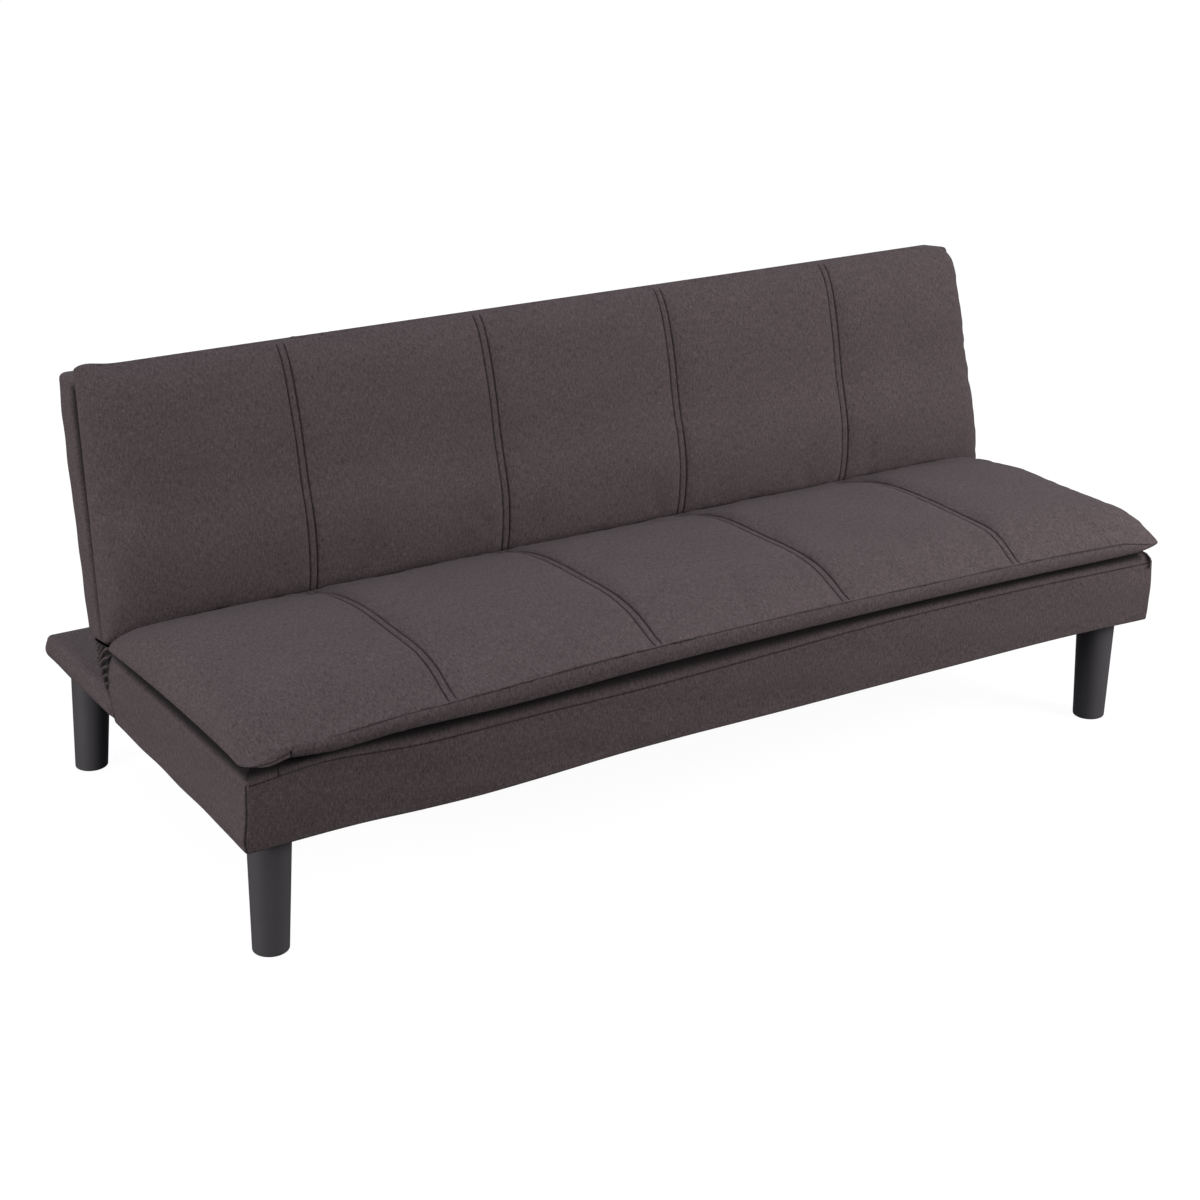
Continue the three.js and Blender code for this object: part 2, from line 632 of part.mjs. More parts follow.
// Back board: a timber frame in a sewn cover that is open behind the cushion
function buildBack() {
  const [outerX, innerX] = [frameOuterX, frameInnerX];
  const lower = boardBottom + coverThickness + fit;
  const upper = boardTop - coverThickness - fit;
  const rear = boardRear - boardEdgeRadius - fit;
  const straps = boardFront + coverThickness + fit;
  const front = straps + webbingThickness + fit;

  const inside = [lower + timberThickness + fit, upper - timberThickness - fit];
  for (const [sideName, side] of sides) {
    const outline = polygon([[front, inside[0]], [rear, inside[0]], [rear, inside[1]], [front, inside[1]]]);
    for (const [y, z] of backBoltPlaces()) roundHole(outline, y, z, leafBoltRadius + fit);
    const rail = acrossX(outline, ...between(side, innerX, outerX));
    place(back, `back_side_rail_${sideName}`, rail, finishes.pine);
  }

  // The cross rails are drawn in the board's face and pulled through its thickness.
  // The lower one has a slot at each end for the hinge.
  const acrossBoard = (outline, from, to) => solid(upwards(polygon(outline), from, to)
    .rotateX(Math.PI / 2).translate(0, from + to, 0));
  const top = acrossBoard(railOutline(outerX, upper, inside[1] + fit), front, rear);
  place(back, 'back_top_rail', geometryOf(top), finishes.pine);
  const bottom = acrossBoard(railOutline(outerX, lower, inside[0] - fit), front, rear);
  const slotFrom = innerLeafX - leafThickness - pawlPinHeadRadius / 2;
  const slotDepth = stripStart + stripWidth + fit;
  const slots = sides.map(([, side]) => {
    const [x0, x1] = between(side, slotFrom, innerX);
    return solid(box([x0, boardFront, boardBottom], [x1, slotDepth, inside[0]]));
  });
  place(back, 'back_bottom_rail', geometryOf(cut(bottom, ...slots)), finishes.pine);

  bearerPlaceShares.forEach((share, index) => {
    const x = share * half;
    const upright = box([x - timberThickness / 2, front, inside[0]],
      [x + timberThickness / 2, rear, inside[1]]);
    place(back, `back_upright_${index + 1}`, upright, finishes.pine);
  });

  const waddingInset = boardEdgeRadius;
  const wadding = box([-half + waddingInset, rear + fit, boardBottom + waddingInset],
    [half - waddingInset, boardRear - coverThickness - fit, boardTop - waddingInset]);
  place(back, 'back_wadding', wadding, finishes.foam);

  const lattice = webbing(innerX - webbingEndInset, lower + timberThickness / 4,
    upper - timberThickness / 4, 0).rotateX(Math.PI / 2).translate(0, straps + webbingThickness, 0);
  place(back, 'back_webbing', lattice, finishes.webbing);

  const profile = [...edgeRound(boardEdgeRadius, boardRear, 1), [0, boardFront + coverThickness],
    [coverThickness / 3, boardFront + coverThickness / 3], [coverThickness, boardFront],
    [boardLipWidth, boardFront]];
  const cover = sewnCover([-half, -boardTop], [half, -boardBottom], profile, coverThickness);
  const turned = cover.rotateX(-Math.PI / 2);
  const pockets = hingePockets(0, 0, backPocketRadius);
  place(back, 'back_board_cover', geometryOf(cut(solid(turned), ...pockets)), finishes.taupeCloth);

  const foot = backCushionBottomRise;
  const depth = boardTop + backCushionTopOverhang - foot;
  const pad = cushion(half + cushionSideOverhang, depth, cushionBorder, backCushionCrown,
    backCushionSlumpShare);
  const upright = pad.rotateX(Math.PI / 2).translate(0, boardFront - fit, foot);
  place(back, 'back_cushion', geometryOf(cut(solid(upright), ...pockets)), finishes.taupeCloth);
}

// Click clack hinges
function seatLeafFoot() {
  return [hingeY - seatLeafReach, hingeZ - seatLeafDrop];
}

function seatBoltPlaces() {
  const [y, z] = seatLeafFoot();
  return seatBoltSetbacks.map((setback) => [y - setback, z]);
}

function backBoltPlaces() {
  return backBoltHeights.map((height) => [stripStart + stripWidth / 2, height]);
}

// The ratchet's rim: a wide sofa notch with room to lift the back, a lounge and a bed notch
function ratchetShape() {
  const shape = new THREE.Shape();
  const rest = noseClock - backLean;
  const notches = [[rest - bedAngle, 0], [rest - loungeAngle, 0], [rest, forwardPlay]];
  const faces = notches.map(([middle]) => middle - noseLead);
  notches.forEach(([middle, play], index) => {
    const floorEnd = middle + noseLead + play;
    const nextFace = faces[(index + 1) % faces.length] + (index + 1 < faces.length ? 0 : 2 * Math.PI);
    shape.absarc(0, 0, ratchetRadius - ratchetDepth, faces[index], floorEnd, false);
    shape.absarc(0, 0, ratchetRadius, floorEnd + rampAngle, nextFace, false);
  });
  shape.closePath();
  return shape;
}

function seatLeaf(side) {
  const [inner, outer] = between(side, outerLeafX - leafThickness, outerLeafX);
  const [footY, footZ] = seatLeafFoot();
  const wide = seatLeafWidth / 2;
  const disc = solid(acrossX(ratchetShape(), inner, outer, 8).translate(0, hingeY, hingeZ));
  const neck = solid(acrossX(link([footY, footZ], wide, [hingeY, hingeZ], seatHubRadius), inner, outer, 8));
  const tail = [footY - seatLeafLength + seatLeafWidth, footZ];
  const plate = solid(acrossX(link([footY, footZ], wide, tail, wide - fit), inner, outer, 6));
  const holes = seatBoltPlaces().map(([y, z]) => solid(acrossX(circle(y, z, leafBoltRadius + fit),
    inner - leafThickness, outer + leafThickness, 8)));
  const bore = solid(acrossX(circle(hingeY, hingeZ, pivotRadius + fit),
    inner - leafThickness, outer + leafThickness, 10));
  return geometryOf(cut(join(disc, neck, plate), bore, ...holes));
}

function pawlPin() {
  const reach = ratchetRadius + fit + pawlRise;
  const [radialY, radialZ] = [Math.cos(noseClock), Math.sin(noseClock)];
  return [reach * radialY - pawlLength * radialZ, reach * radialZ + pawlLength * radialY];
}

function backLeaf(side) {
  const [inner, outer] = between(side, innerLeafX - leafThickness, innerLeafX);
  const [joggledInner, joggledOuter] = [outerLeafX - leafThickness, outerLeafX];
  const cheek = solid(acrossX(link([0, 0], backHubRadius, pawlPin(), cheekRadius), inner, outer, 8));
  const top = joggleStart + joggleLength;
  const run = [[innerLeafX - leafThickness, stripFoot], [innerLeafX, stripFoot],
    [innerLeafX, joggleStart], [joggledOuter, top], [joggledOuter, stripFoot + stripLength],
    [joggledInner, stripFoot + stripLength], [joggledInner, top + fit],
    [innerLeafX - leafThickness, joggleStart + fit]];
  const strip = new THREE.ExtrudeGeometry(polygon(run.map(([x, z]) => [side * x, z])),
    { depth: stripWidth, bevelEnabled: false });
  const upright = solid(strip.rotateX(Math.PI / 2).translate(0, stripStart + stripWidth, 0));
  const lugEnds = between(side, innerLeafX - fit, outerLeafX);
  const lug = solid(acrossX(circle(...springLugPlace, springLugRadius), ...lugEnds, 5));
  const through = between(side, innerLeafX - 2 * leafThickness, outerLeafX + leafThickness);
  const holes = [[0, 0, pivotRadius, 10], [...pawlPin(), pawlPinRadius, 6],
    ...backBoltPlaces().map(([y, z]) => [y, z, leafBoltRadius, 8])]
    .map(([y, z, radius, steps]) => solid(acrossX(circle(y, z, radius + fit), ...through, steps)));
  return geometryOf(cut(join(cheek, upright, lug), ...holes));
}

// The pawl is drawn from its pin: first away from the pin to the nose, then out from the rim
function pawlOutline() {
  const shape = new THREE.Shape();
  const shoulder = pawlNoseHeight - pawlRise;
  const [near, far] = [pawlLength - pawlNoseWidth / 2, pawlLength + pawlNoseWidth / 2];
  const waist = near - pawlNoseWidth;
  shape.moveTo(near, -pawlRise);
  shape.lineTo(far, -pawlRise);
  shape.lineTo(far + fit, shoulder);
  shape.lineTo(waist, pawlHubRadius - pawlNoseWidth / 2);
  shape.absarc(0, 0, pawlHubRadius, pawlHubFromAngle, pawlHubToAngle, false);
  shape.lineTo(waist + fit, -pawlRise + pawlNoseWidth);
  shape.closePath();
  return shape;
}

function pawl(side) {
  const [inner, outer] = between(side, outerLeafX - leafThickness, outerLeafX);
  const outline = pawlOutline();
  roundHole(outline, 0, 0, pawlPinRadius + fit);
  const [pinY, pinZ] = pawlPin();
  const geometry = acrossX(outline, inner, outer, 8);
  return geometry.rotateX(noseClock - Math.PI / 2).translate(0, pinY, pinZ);
}

// A flat spring: an eye on the lug, a bow and a tip that bears on the back of the pawl
function springShape() {
  const [lugY, lugZ] = springLugPlace;
  const [pinY, pinZ] = pawlPin();
  const tipAlong = pawlLength - pawlNoseWidth;
  const tipOut = pawlHubRadius + springThickness;
  const [radialY, radialZ] = [Math.cos(noseClock), Math.sin(noseClock)];
  const tip = [pinY + tipAlong * radialZ + tipOut * radialY, pinZ - tipAlong * radialY + tipOut * radialZ];
  const start = [lugY + springEyeRadius - springThickness, lugZ];
  const control = [start[0], (tip[1] + lugZ) / 2 - springEyeRadius];
  const run = new THREE.QuadraticBezierCurve(new THREE.Vector2(...start), new THREE.Vector2(...control),
    new THREE.Vector2(...tip));
  const edges = [-1, 1].map((edge) => run.getPoints(springSteps).map((point, index) => {
    const tangent = run.getTangent(index / springSteps);
    const shift = edge * springThickness / 2;
    return [point.x - tangent.y * shift, point.y + tangent.x * shift];
  }));
  return polygon([...edges[0], ...edges[1].reverse()]);
}

function spring(side) {
  const [inner, outer] = between(side, outerLeafX - leafThickness, outerLeafX);
  const eye = circle(...springLugPlace, springEyeRadius);
  roundHole(eye, ...springLugPlace, springLugRadius + fit);
  return geometryOf(join(solid(acrossX(eye, inner, outer, 6)), solid(acrossX(springShape(), inner, outer))));
}

function rivet(side, y, z, radius, headRadius, outerHeadRadius) {
  const inner = innerLeafX - leafThickness - fit;
  const outer = outerLeafX + fit;
  const outerHead = [[outer, radius], [outer, outerHeadRadius],
    [outer + rivetHeadThickness, outerHeadRadius * rivetCrownShare], [outer + rivetHeadThickness, 0]];
  const flushEnd = [[outer - fit, radius], [outer - fit, 0]];
  const profile = [[inner - rivetHeadThickness, 0],
    [inner - rivetHeadThickness, headRadius * rivetCrownShare], [inner, headRadius], [inner, radius],
    ...(outerHeadRadius > radius ? outerHead : flushEnd)];
  return mirroredTurned(side, profile, y, z);
}

function mirroredTurned(side, profile, y, z, segments = 16) {
  const run = side > 0 ? profile : profile.map(([x, radius]) => [-x, radius]).reverse();
  return turnedAlongX(run, y, z, segments);
}

function leafBolt(side, y, z) {
  const seat = outerLeafX - leafThickness - fit;
  const end = frameOuterX - timberThickness / 8;
  const [riseShare, crownShare] = boltCrownShares;
  return mirroredTurned(side, [[seat - leafBoltHeadHeight, 0],
    [seat - leafBoltHeadHeight * riseShare, leafBoltHeadRadius * crownShare],
    [seat, leafBoltHeadRadius], [seat, leafBoltRadius], [end, leafBoltRadius], [end, 0]], y, z, 12);
}

function buildHinges() {
  for (const [name, side] of sides) {
    place(sofa, `hinge_seat_leaf_${name}`, seatLeaf(side), finishes.zincSteel);
    place(sofa, `hinge_pivot_rivet_${name}`, rivet(side, hingeY, hingeZ, pivotRadius, pivotHeadRadius,
      pivotHeadRadius), finishes.zincSteel);
    place(back, `hinge_back_leaf_${name}`, backLeaf(side), finishes.zincSteel);
    place(back, `hinge_pawl_${name}`, pawl(side), finishes.springSteel);
    place(back, `hinge_pawl_pin_${name}`, rivet(side, ...pawlPin(), pawlPinRadius, pawlPinHeadRadius, 0),
      finishes.zincSteel);
    place(back, `hinge_spring_${name}`, spring(side), finishes.springSteel);
    seatBoltPlaces().forEach(([y, z], index) => {
      place(sofa, `seat_leaf_bolt_${name}_${index + 1}`, leafBolt(side, y, z), finishes.zincSteel);
    });
    backBoltPlaces().forEach(([y, z], index) => {
      place(back, `back_leaf_bolt_${name}_${index + 1}`, leafBolt(side, y, z), finishes.zincSteel);
    });
  }
}

// Gathered cloth that closes the gap under the back board, with its two ends turned in
function buildGusset() {
  const rows = 3 * gussetFoldCount + 1;
  const foot = ledgeTop + fit;
  const lean = Math.tan(backLean);
  const reachTop = boardRear * Math.cos(backLean) - hingeSetback - boardEdgeRadius / 2;
  const underBoard = (y) => hingeZ + boardBottom / Math.cos(backLean) - (y - hingeY) * lean - fit;
  const ring = (row, wall) => {
    const share = row / (rows - 1);
    const fold = gussetFold * Math.sin(share * gussetFoldCount * 2 * Math.PI);
    const slope = gussetFootReach + (reachTop - gussetFootReach) * share ** gussetSagPower;
    const reach = slope - wall + fold * (1 - share);
    const x = half - gussetEndInset - gussetFold - wall + fold;
    const y0 = seatDepth + 2 * fit;
    const y1 = y0 + Math.max(reach, gussetFootReach / 3);
    const turn = gussetThickness + gussetFold;
    const outline = [[-x, y0], [-x, (y0 + y1) / 2], [-x + turn / 3, y1 - turn / 3], [-x + turn, y1],
      [-half / 3, y1], [half / 3, y1], [x - turn, y1], [x - turn / 3, y1 - turn / 3],
      [x, (y0 + y1) / 2], [x, y0]];
    return outline.map(([px, py]) => [px, py, foot + (underBoard(py) - gussetThickness / 2 - foot) * share]);
  };
  const wide = ring(0, 0).length;
  const positions = [];
  for (const wall of [0, gussetThickness]) {
    for (let row = 0; row < rows; row += 1) positions.push(...ring(row, wall));
  }
  const skinSize = rows * wide;
  const triangles = [];
  for (let row = 0; row + 1 < rows; row += 1) {
    for (let step = 0; step + 1 < wide; step += 1) {
      const a = row * wide + step;
      triangles.push([a, a + 1, a + wide + 1], [a, a + wide + 1, a + wide]);
      const b = a + skinSize;
      triangles.push([b, b + wide + 1, b + 1], [b, b + wide, b + wide + 1]);
    }
  }
  const rim = [
    ...Array.from({ length: wide - 1 }, (_, step) => step),
    ...Array.from({ length: rows - 1 }, (_, row) => row * wide + wide - 1),
    ...Array.from({ length: wide - 1 }, (_, step) => (rows - 1) * wide + wide - 1 - step),
    ...Array.from({ length: rows - 1 }, (_, row) => (rows - 1 - row) * wide),
  ];
  rim.forEach((a, index) => {
    const b = rim[(index + 1) % rim.length];
    triangles.push([a, a + skinSize, b], [b, a + skinSize, b + skinSize]);
  });
  place(sofa, 'rear_gusset', facingOut(positions, triangles), finishes.taupeCloth);
}

buildLegs();
buildBaseFrame();
buildSeat();
buildLedgeCovers();
buildBack();
buildHinges();
buildGusset();

// The origin lies on the floor under the middle of the whole sofa
const frontReach = seatCushionFrontOverhang + cushionBulge;
sofa.position.y = -(baseDepth - frontReach) / 2;

export default sofa;
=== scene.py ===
import json
import math

import bpy
import numpy as np
from mathutils import Matrix, Vector


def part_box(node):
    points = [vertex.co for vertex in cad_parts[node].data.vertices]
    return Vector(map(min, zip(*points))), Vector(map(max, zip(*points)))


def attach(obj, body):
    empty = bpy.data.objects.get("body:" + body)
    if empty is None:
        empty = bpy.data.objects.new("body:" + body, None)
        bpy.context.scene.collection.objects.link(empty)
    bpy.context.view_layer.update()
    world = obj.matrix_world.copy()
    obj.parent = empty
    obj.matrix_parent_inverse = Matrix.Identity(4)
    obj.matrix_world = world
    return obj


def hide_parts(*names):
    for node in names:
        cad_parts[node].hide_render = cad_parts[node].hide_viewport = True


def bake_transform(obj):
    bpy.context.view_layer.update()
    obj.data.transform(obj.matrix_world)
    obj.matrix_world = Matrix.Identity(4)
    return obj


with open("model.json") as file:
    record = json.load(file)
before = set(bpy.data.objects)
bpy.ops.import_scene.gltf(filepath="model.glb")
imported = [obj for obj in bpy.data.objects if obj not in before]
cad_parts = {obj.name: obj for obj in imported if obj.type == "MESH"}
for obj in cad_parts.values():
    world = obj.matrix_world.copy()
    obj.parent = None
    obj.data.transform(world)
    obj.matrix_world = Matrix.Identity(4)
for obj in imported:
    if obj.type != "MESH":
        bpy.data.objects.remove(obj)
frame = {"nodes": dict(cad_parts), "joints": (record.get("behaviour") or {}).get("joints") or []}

bl_info = {
    "name": "Click clack sofa bed",
    "version": (1, 0, 0),
    "blender": (4, 5, 0),
    "location": "3D View > Sidebar > Sofa bed",
    "description": "Dresses a click clack sofa bed with its pads, covers, legs and studio",
    "category": "Mesh",
}

MM = 0.001
TAU = 2 * math.pi

# The sofa's own measures, in metres, from the solids that it is dressed on
box_low, box_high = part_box("seat_box_cover")
ledge_low, ledge_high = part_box("ledge_cover")
pad_low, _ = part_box("seat_cushion")
dust_low, dust_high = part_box("underside_dust_cover")
HALF = box_high.x
BOX_FRONT, BOX_REAR = box_low.y, box_high.y
PAD_FLOOR = pad_low.z
LEDGE_FRONT, LEDGE_REAR = ledge_low.y, ledge_high.y
LEDGE_TOP = ledge_high.z
UNDERSIDE = box_low.z
HINGE = next(j for j in frame["joints"] if j["name"] == "back_recline")["pos_m"]

# The back board leans back from upright about the hinge
LEAN = math.radians(7)
BOARD_FRONT, BOARD_REAR = 11 * MM, 77 * MM
BOARD_FOOT, BOARD_TOP = 9 * MM, 428 * MM

# Hinge pockets in the covers
POCKET = (777 * MM, 815 * MM)

# Half the length of the openings where the box and the ledge meet
BOX_OPENING, LEDGE_OPENING = 830 * MM, 825 * MM

STITCH_SPACING = 12 * MM


# Sizes and colours that a user would change

def length(name, text, value, low=0.0, high=1.0):
    return bpy.props.FloatProperty(name=name, description=text, default=value, min=low,
                                   max=high, unit="LENGTH", subtype="DISTANCE")


def share(name, text, value):
    return bpy.props.FloatProperty(name=name, description=text, default=value, min=0.0,
                                   max=1.0, subtype="FACTOR")


def colour(name, text, value):
    return bpy.props.FloatVectorProperty(name=name, description=text, default=value, size=3,
                                         min=0.0, max=1.0, subtype="COLOR")


class SofaSizes(bpy.types.PropertyGroup):
    seat_crown: length("Seat crown", "Rise of the seat pad above its border", 44 * MM)
    back_crown: length("Back crown", "Rise of the back pad above its edge", 45 * MM)
    panel_puff: length("Panel puff", "Extra rise in the middle of each panel", 2.5 * MM)
    border: length("Border", "Height of the seat pad's front border", 27 * MM)
    seam_depth: length("Seam depth", "Depth of each sewn line", 1.8 * MM)
    stitch_pitch: length("Stitch pitch", "Distance from stitch to stitch", 4.5 * MM)
    thread_radius: length("Thread radius", "Radius of the sewing thread", 0.35 * MM)
    bow: length("Bow", "How much fuller the soft seat is in its middle", 8 * MM)
    cloth_thickness: length("Cloth thickness", "Cover cloth with its thin wadding", 2 * MM)
    fold_height: length("Fold height", "Size of the gathered cloth's folds", 5 * MM)


class SofaFinishes(bpy.types.PropertyGroup):
    warp: colour("Warp yarn", "Yarn that runs up the cloth", (0.101, 0.077, 0.077))
    weft: colour("Weft yarn", "Yarn that runs along the cloth", (0.072, 0.0555, 0.059))
    thread: colour("Thread", "Sewing thread", (0.030, 0.024, 0.024))
    legs: colour("Legs", "Black moulded legs", (0.076, 0.071, 0.076))
    yarn_pitch: length("Yarn pitch", "Distance from yarn to yarn", 1.1 * MM)
    heather: share("Heather", "How much the yarns differ from each other", 0.30)


# Surfaces: grids of points worked out as whole arrays

def grid_quads(rows, columns):
    """Quads between the neighbouring rows and columns of a grid."""
    corner = np.arange(rows * columns).reshape(rows, columns)
    around = [corner[:-1, :-1], corner[:-1, 1:], corner[1:, 1:], corner[1:, :-1]]
    return np.stack(around, axis=-1).reshape(-1, 4)


def weld(points):
    """One corner for all the points of a grid that share a place, to a thousandth of a
    millimetre: the corners, and each point's own corner."""
    _, first, own = np.unique(np.round(points, 6), axis=0, return_index=True,
                              return_inverse=True)
    return points[first], own.reshape(-1)


def steps_between(low, high, step):
    """Places from low to high, evenly spaced by about one step."""
    return np.linspace(low, high, max(2, int(round((high - low) / step)) + 1))


def stations(low, high, step, centres=(), offsets=(0.0,), ends=()):
    """Places from low to high about a step apart. Round each centre they stand at the
    offsets instead, and near both ends at the given distances from them."""
    offsets, ends = np.asarray(offsets, float), np.asarray(ends, float)
    places = steps_between(low, high, step)
    clear = np.ones(len(places), bool)
    for centre in centres:
        clear &= np.abs(places - centre) > offsets.max() + step / 2
    if len(ends):
        clear &= (places > low + ends.max() + step / 2) & (places < high - ends.max() - step / 2)
    extra = [centre + offsets for centre in centres]
    extra += [low + ends, high - ends] if len(ends) else [np.array([low, high])]
    return np.unique(np.round(np.concatenate([places[clear], *extra]), 7))


def smooth_between(knots, places):
    """Weights that carry values from the knots to the places: cubic pieces whose slope at
    a knot is the slope of the values round it."""
    eye = np.eye(len(knots))
    slopes = np.gradient(eye, knots, axis=0)
    left = np.clip(np.searchsorted(knots, places, side="right") - 1, 0, len(knots) - 2)
    width = (knots[left + 1] - knots[left])[:, None]
    t = (places - knots[left])[:, None] / width
    return ((1 + 2 * t) * (1 - t) ** 2 * eye[left] + t * (1 - t) ** 2 * width * slopes[left]
            + t * t * (3 - 2 * t) * eye[left + 1] + t * t * (t - 1) * width * slopes[left + 1])


def through(knots, places):
    """Values at the places, carried smoothly through knots of (place, value), in mm."""
    at, values = np.array(knots, float).T * MM
    places = np.asarray(places, float)
    inside = np.clip(places.ravel(), at[0], at[-1])
    return (smooth_between(at, inside) @ values).reshape(places.shape)


def mm(*sizes):
    """Millimetres as metres."""
    return np.array(sizes) * MM


def smoothstep(low, high, value):
    """Nothing at low, one at high, and an even S between, also where high is the lower."""
    t = np.clip((value - low) / (high - low), 0, 1)
    return t * t * (3 - 2 * t)


def ramp(low, high, value):
    """The same S, with its two ends in millimetres."""
    return smoothstep(low * MM, high * MM, value)


def bump(distance, width):
    """A bell of height one: e to the minus square of distance over width."""
    return np.exp(-(distance / width) ** 2)


def ripple(along, lengths, seed):
    """An uneven wave of about size one: a sum of sines of the given lengths, each with
    its own start."""
    starts = np.random.default_rng(seed).uniform(0, TAU, len(lengths))
    waves = [np.sin(TAU * along / size + start) for size, start in zip(lengths, starts)]
    return sum(waves) / math.sqrt(len(lengths))


def dapple(a, b, sizes, seed):
    """An uneven field of about size one over two directions: plane waves of the given
    lengths, each turned its own way."""
    rng = np.random.default_rng(seed)
    total = 0.0
    for size in sizes:
        turn, start = rng.uniform(0, TAU, 2)
        total = total + np.sin(TAU * (a * math.cos(turn) + b * math.sin(turn)) / size + start)
    return total / math.sqrt(len(sizes))


def unit(vectors):
    return vectors / np.maximum(np.linalg.norm(vectors, axis=-1, keepdims=True), 1e-12)


def outward_normals(points):
    """Unit normals of a grid, from the cross product of its two directions, turned to point
    away from its middle."""
    normals = unit(np.cross(np.gradient(points, axis=1), np.gradient(points, axis=0)))
    away = ((points - points.mean(axis=(0, 1))) * normals).sum()
    return normals if away > 0 else -normals


def run_length(points):
    """Distance along a line of points, from its first one."""
    steps = np.linalg.norm(np.diff(points, axis=0), axis=1)
    return np.concatenate([[0.0], np.cumsum(steps)])


def signed_volume(points, quads):
    """Volume of a closed surface, negative if its faces point inwards."""
    a, b, c, d = (points[quads[:, k]] for k in range(4))
    halves = (a * np.cross(b, c)).sum() + (a * np.cross(c, d)).sum()
    return halves / 6


def mesh_object(name, points, quads, uv=None, painted_shade=None, flip=None):
    """A mesh from points and quads. Points in one place are welded, a quad whose corners
    fall together becomes a triangle or goes, and the faces are turned to point outwards."""
    points = np.asarray(points, float).reshape(-1, 3)
    corners, own = weld(points)
    if flip is None:
        flip = signed_volume(points, quads) < 0
    if flip:
        quads = quads[:, ::-1]
    welded = own[quads]
    keep = welded != np.roll(welded, 1, axis=1)
    keep &= (keep.sum(1) > 2)[:, None]
    totals = keep.sum(1)
    totals = totals[totals > 0]
    mesh = bpy.data.meshes.new(name)
    mesh.vertices.add(len(corners))
    mesh.vertices.foreach_set("co", corners.ravel())
    mesh.loops.add(int(totals.sum()))
    mesh.loops.foreach_set("vertex_index", welded[keep])
    mesh.polygons.add(len(totals))
    mesh.polygons.foreach_set("loop_start", np.cumsum(totals) - totals)
    mesh.update(calc_edges=True)
    mesh.validate()
    mesh.polygons.foreach_set("use_smooth", np.ones(len(mesh.polygons), bool))
    if uv is not None:
        layer = mesh.uv_layers.new(name="cloth")
        flat = np.asarray(uv, float).reshape(-1, 2)[quads[keep]]
        layer.uv.foreach_set("vector", flat.ravel())
    # Painted shade, kept in the seam attribute that the cloth material reads
    if painted_shade is not None:
        layer = mesh.attributes.new("seam", "FLOAT", "POINT")
        values = np.zeros(len(corners))
        np.maximum.at(values, own, np.asarray(painted_shade, float).ravel())
        layer.data.foreach_set("value", values)
    piece = bpy.data.objects.new(name, mesh)
    bpy.context.scene.collection.objects.link(piece)
    return piece


def finish_piece(piece, body, material):
    piece.data.materials.append(material)
    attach(piece, body)


def thicken(piece, thickness):
    """A wall of that thickness, inwards from the surface."""
    wall = piece.modifiers.new("Wall", "SOLIDIFY")
    wall.thickness, wall.offset = thickness, -1


# Places on the sofa

def board_to_room(points):
    """From the leaning board's own X, depth and height to the room: a turn about the hinge."""
    x, deep, up = (points[..., k] for k in range(3))
    c, s = math.cos(LEAN), math.sin(LEAN)
    return np.stack([x, HINGE[1] + deep * c + up * s, HINGE[2] - deep * s + up * c], axis=-1)


def seat_bow(x, y, height):
    """How far the soft seat rises in its middle: a parabola along X that fades to the rear."""
    along = 1 - np.clip(np.abs(x) / HALF, 0, 1) ** 2
    return height * along * (1 - smoothstep(BOX_FRONT + 100 * MM, BOX_REAR, y))


# Sewn pads

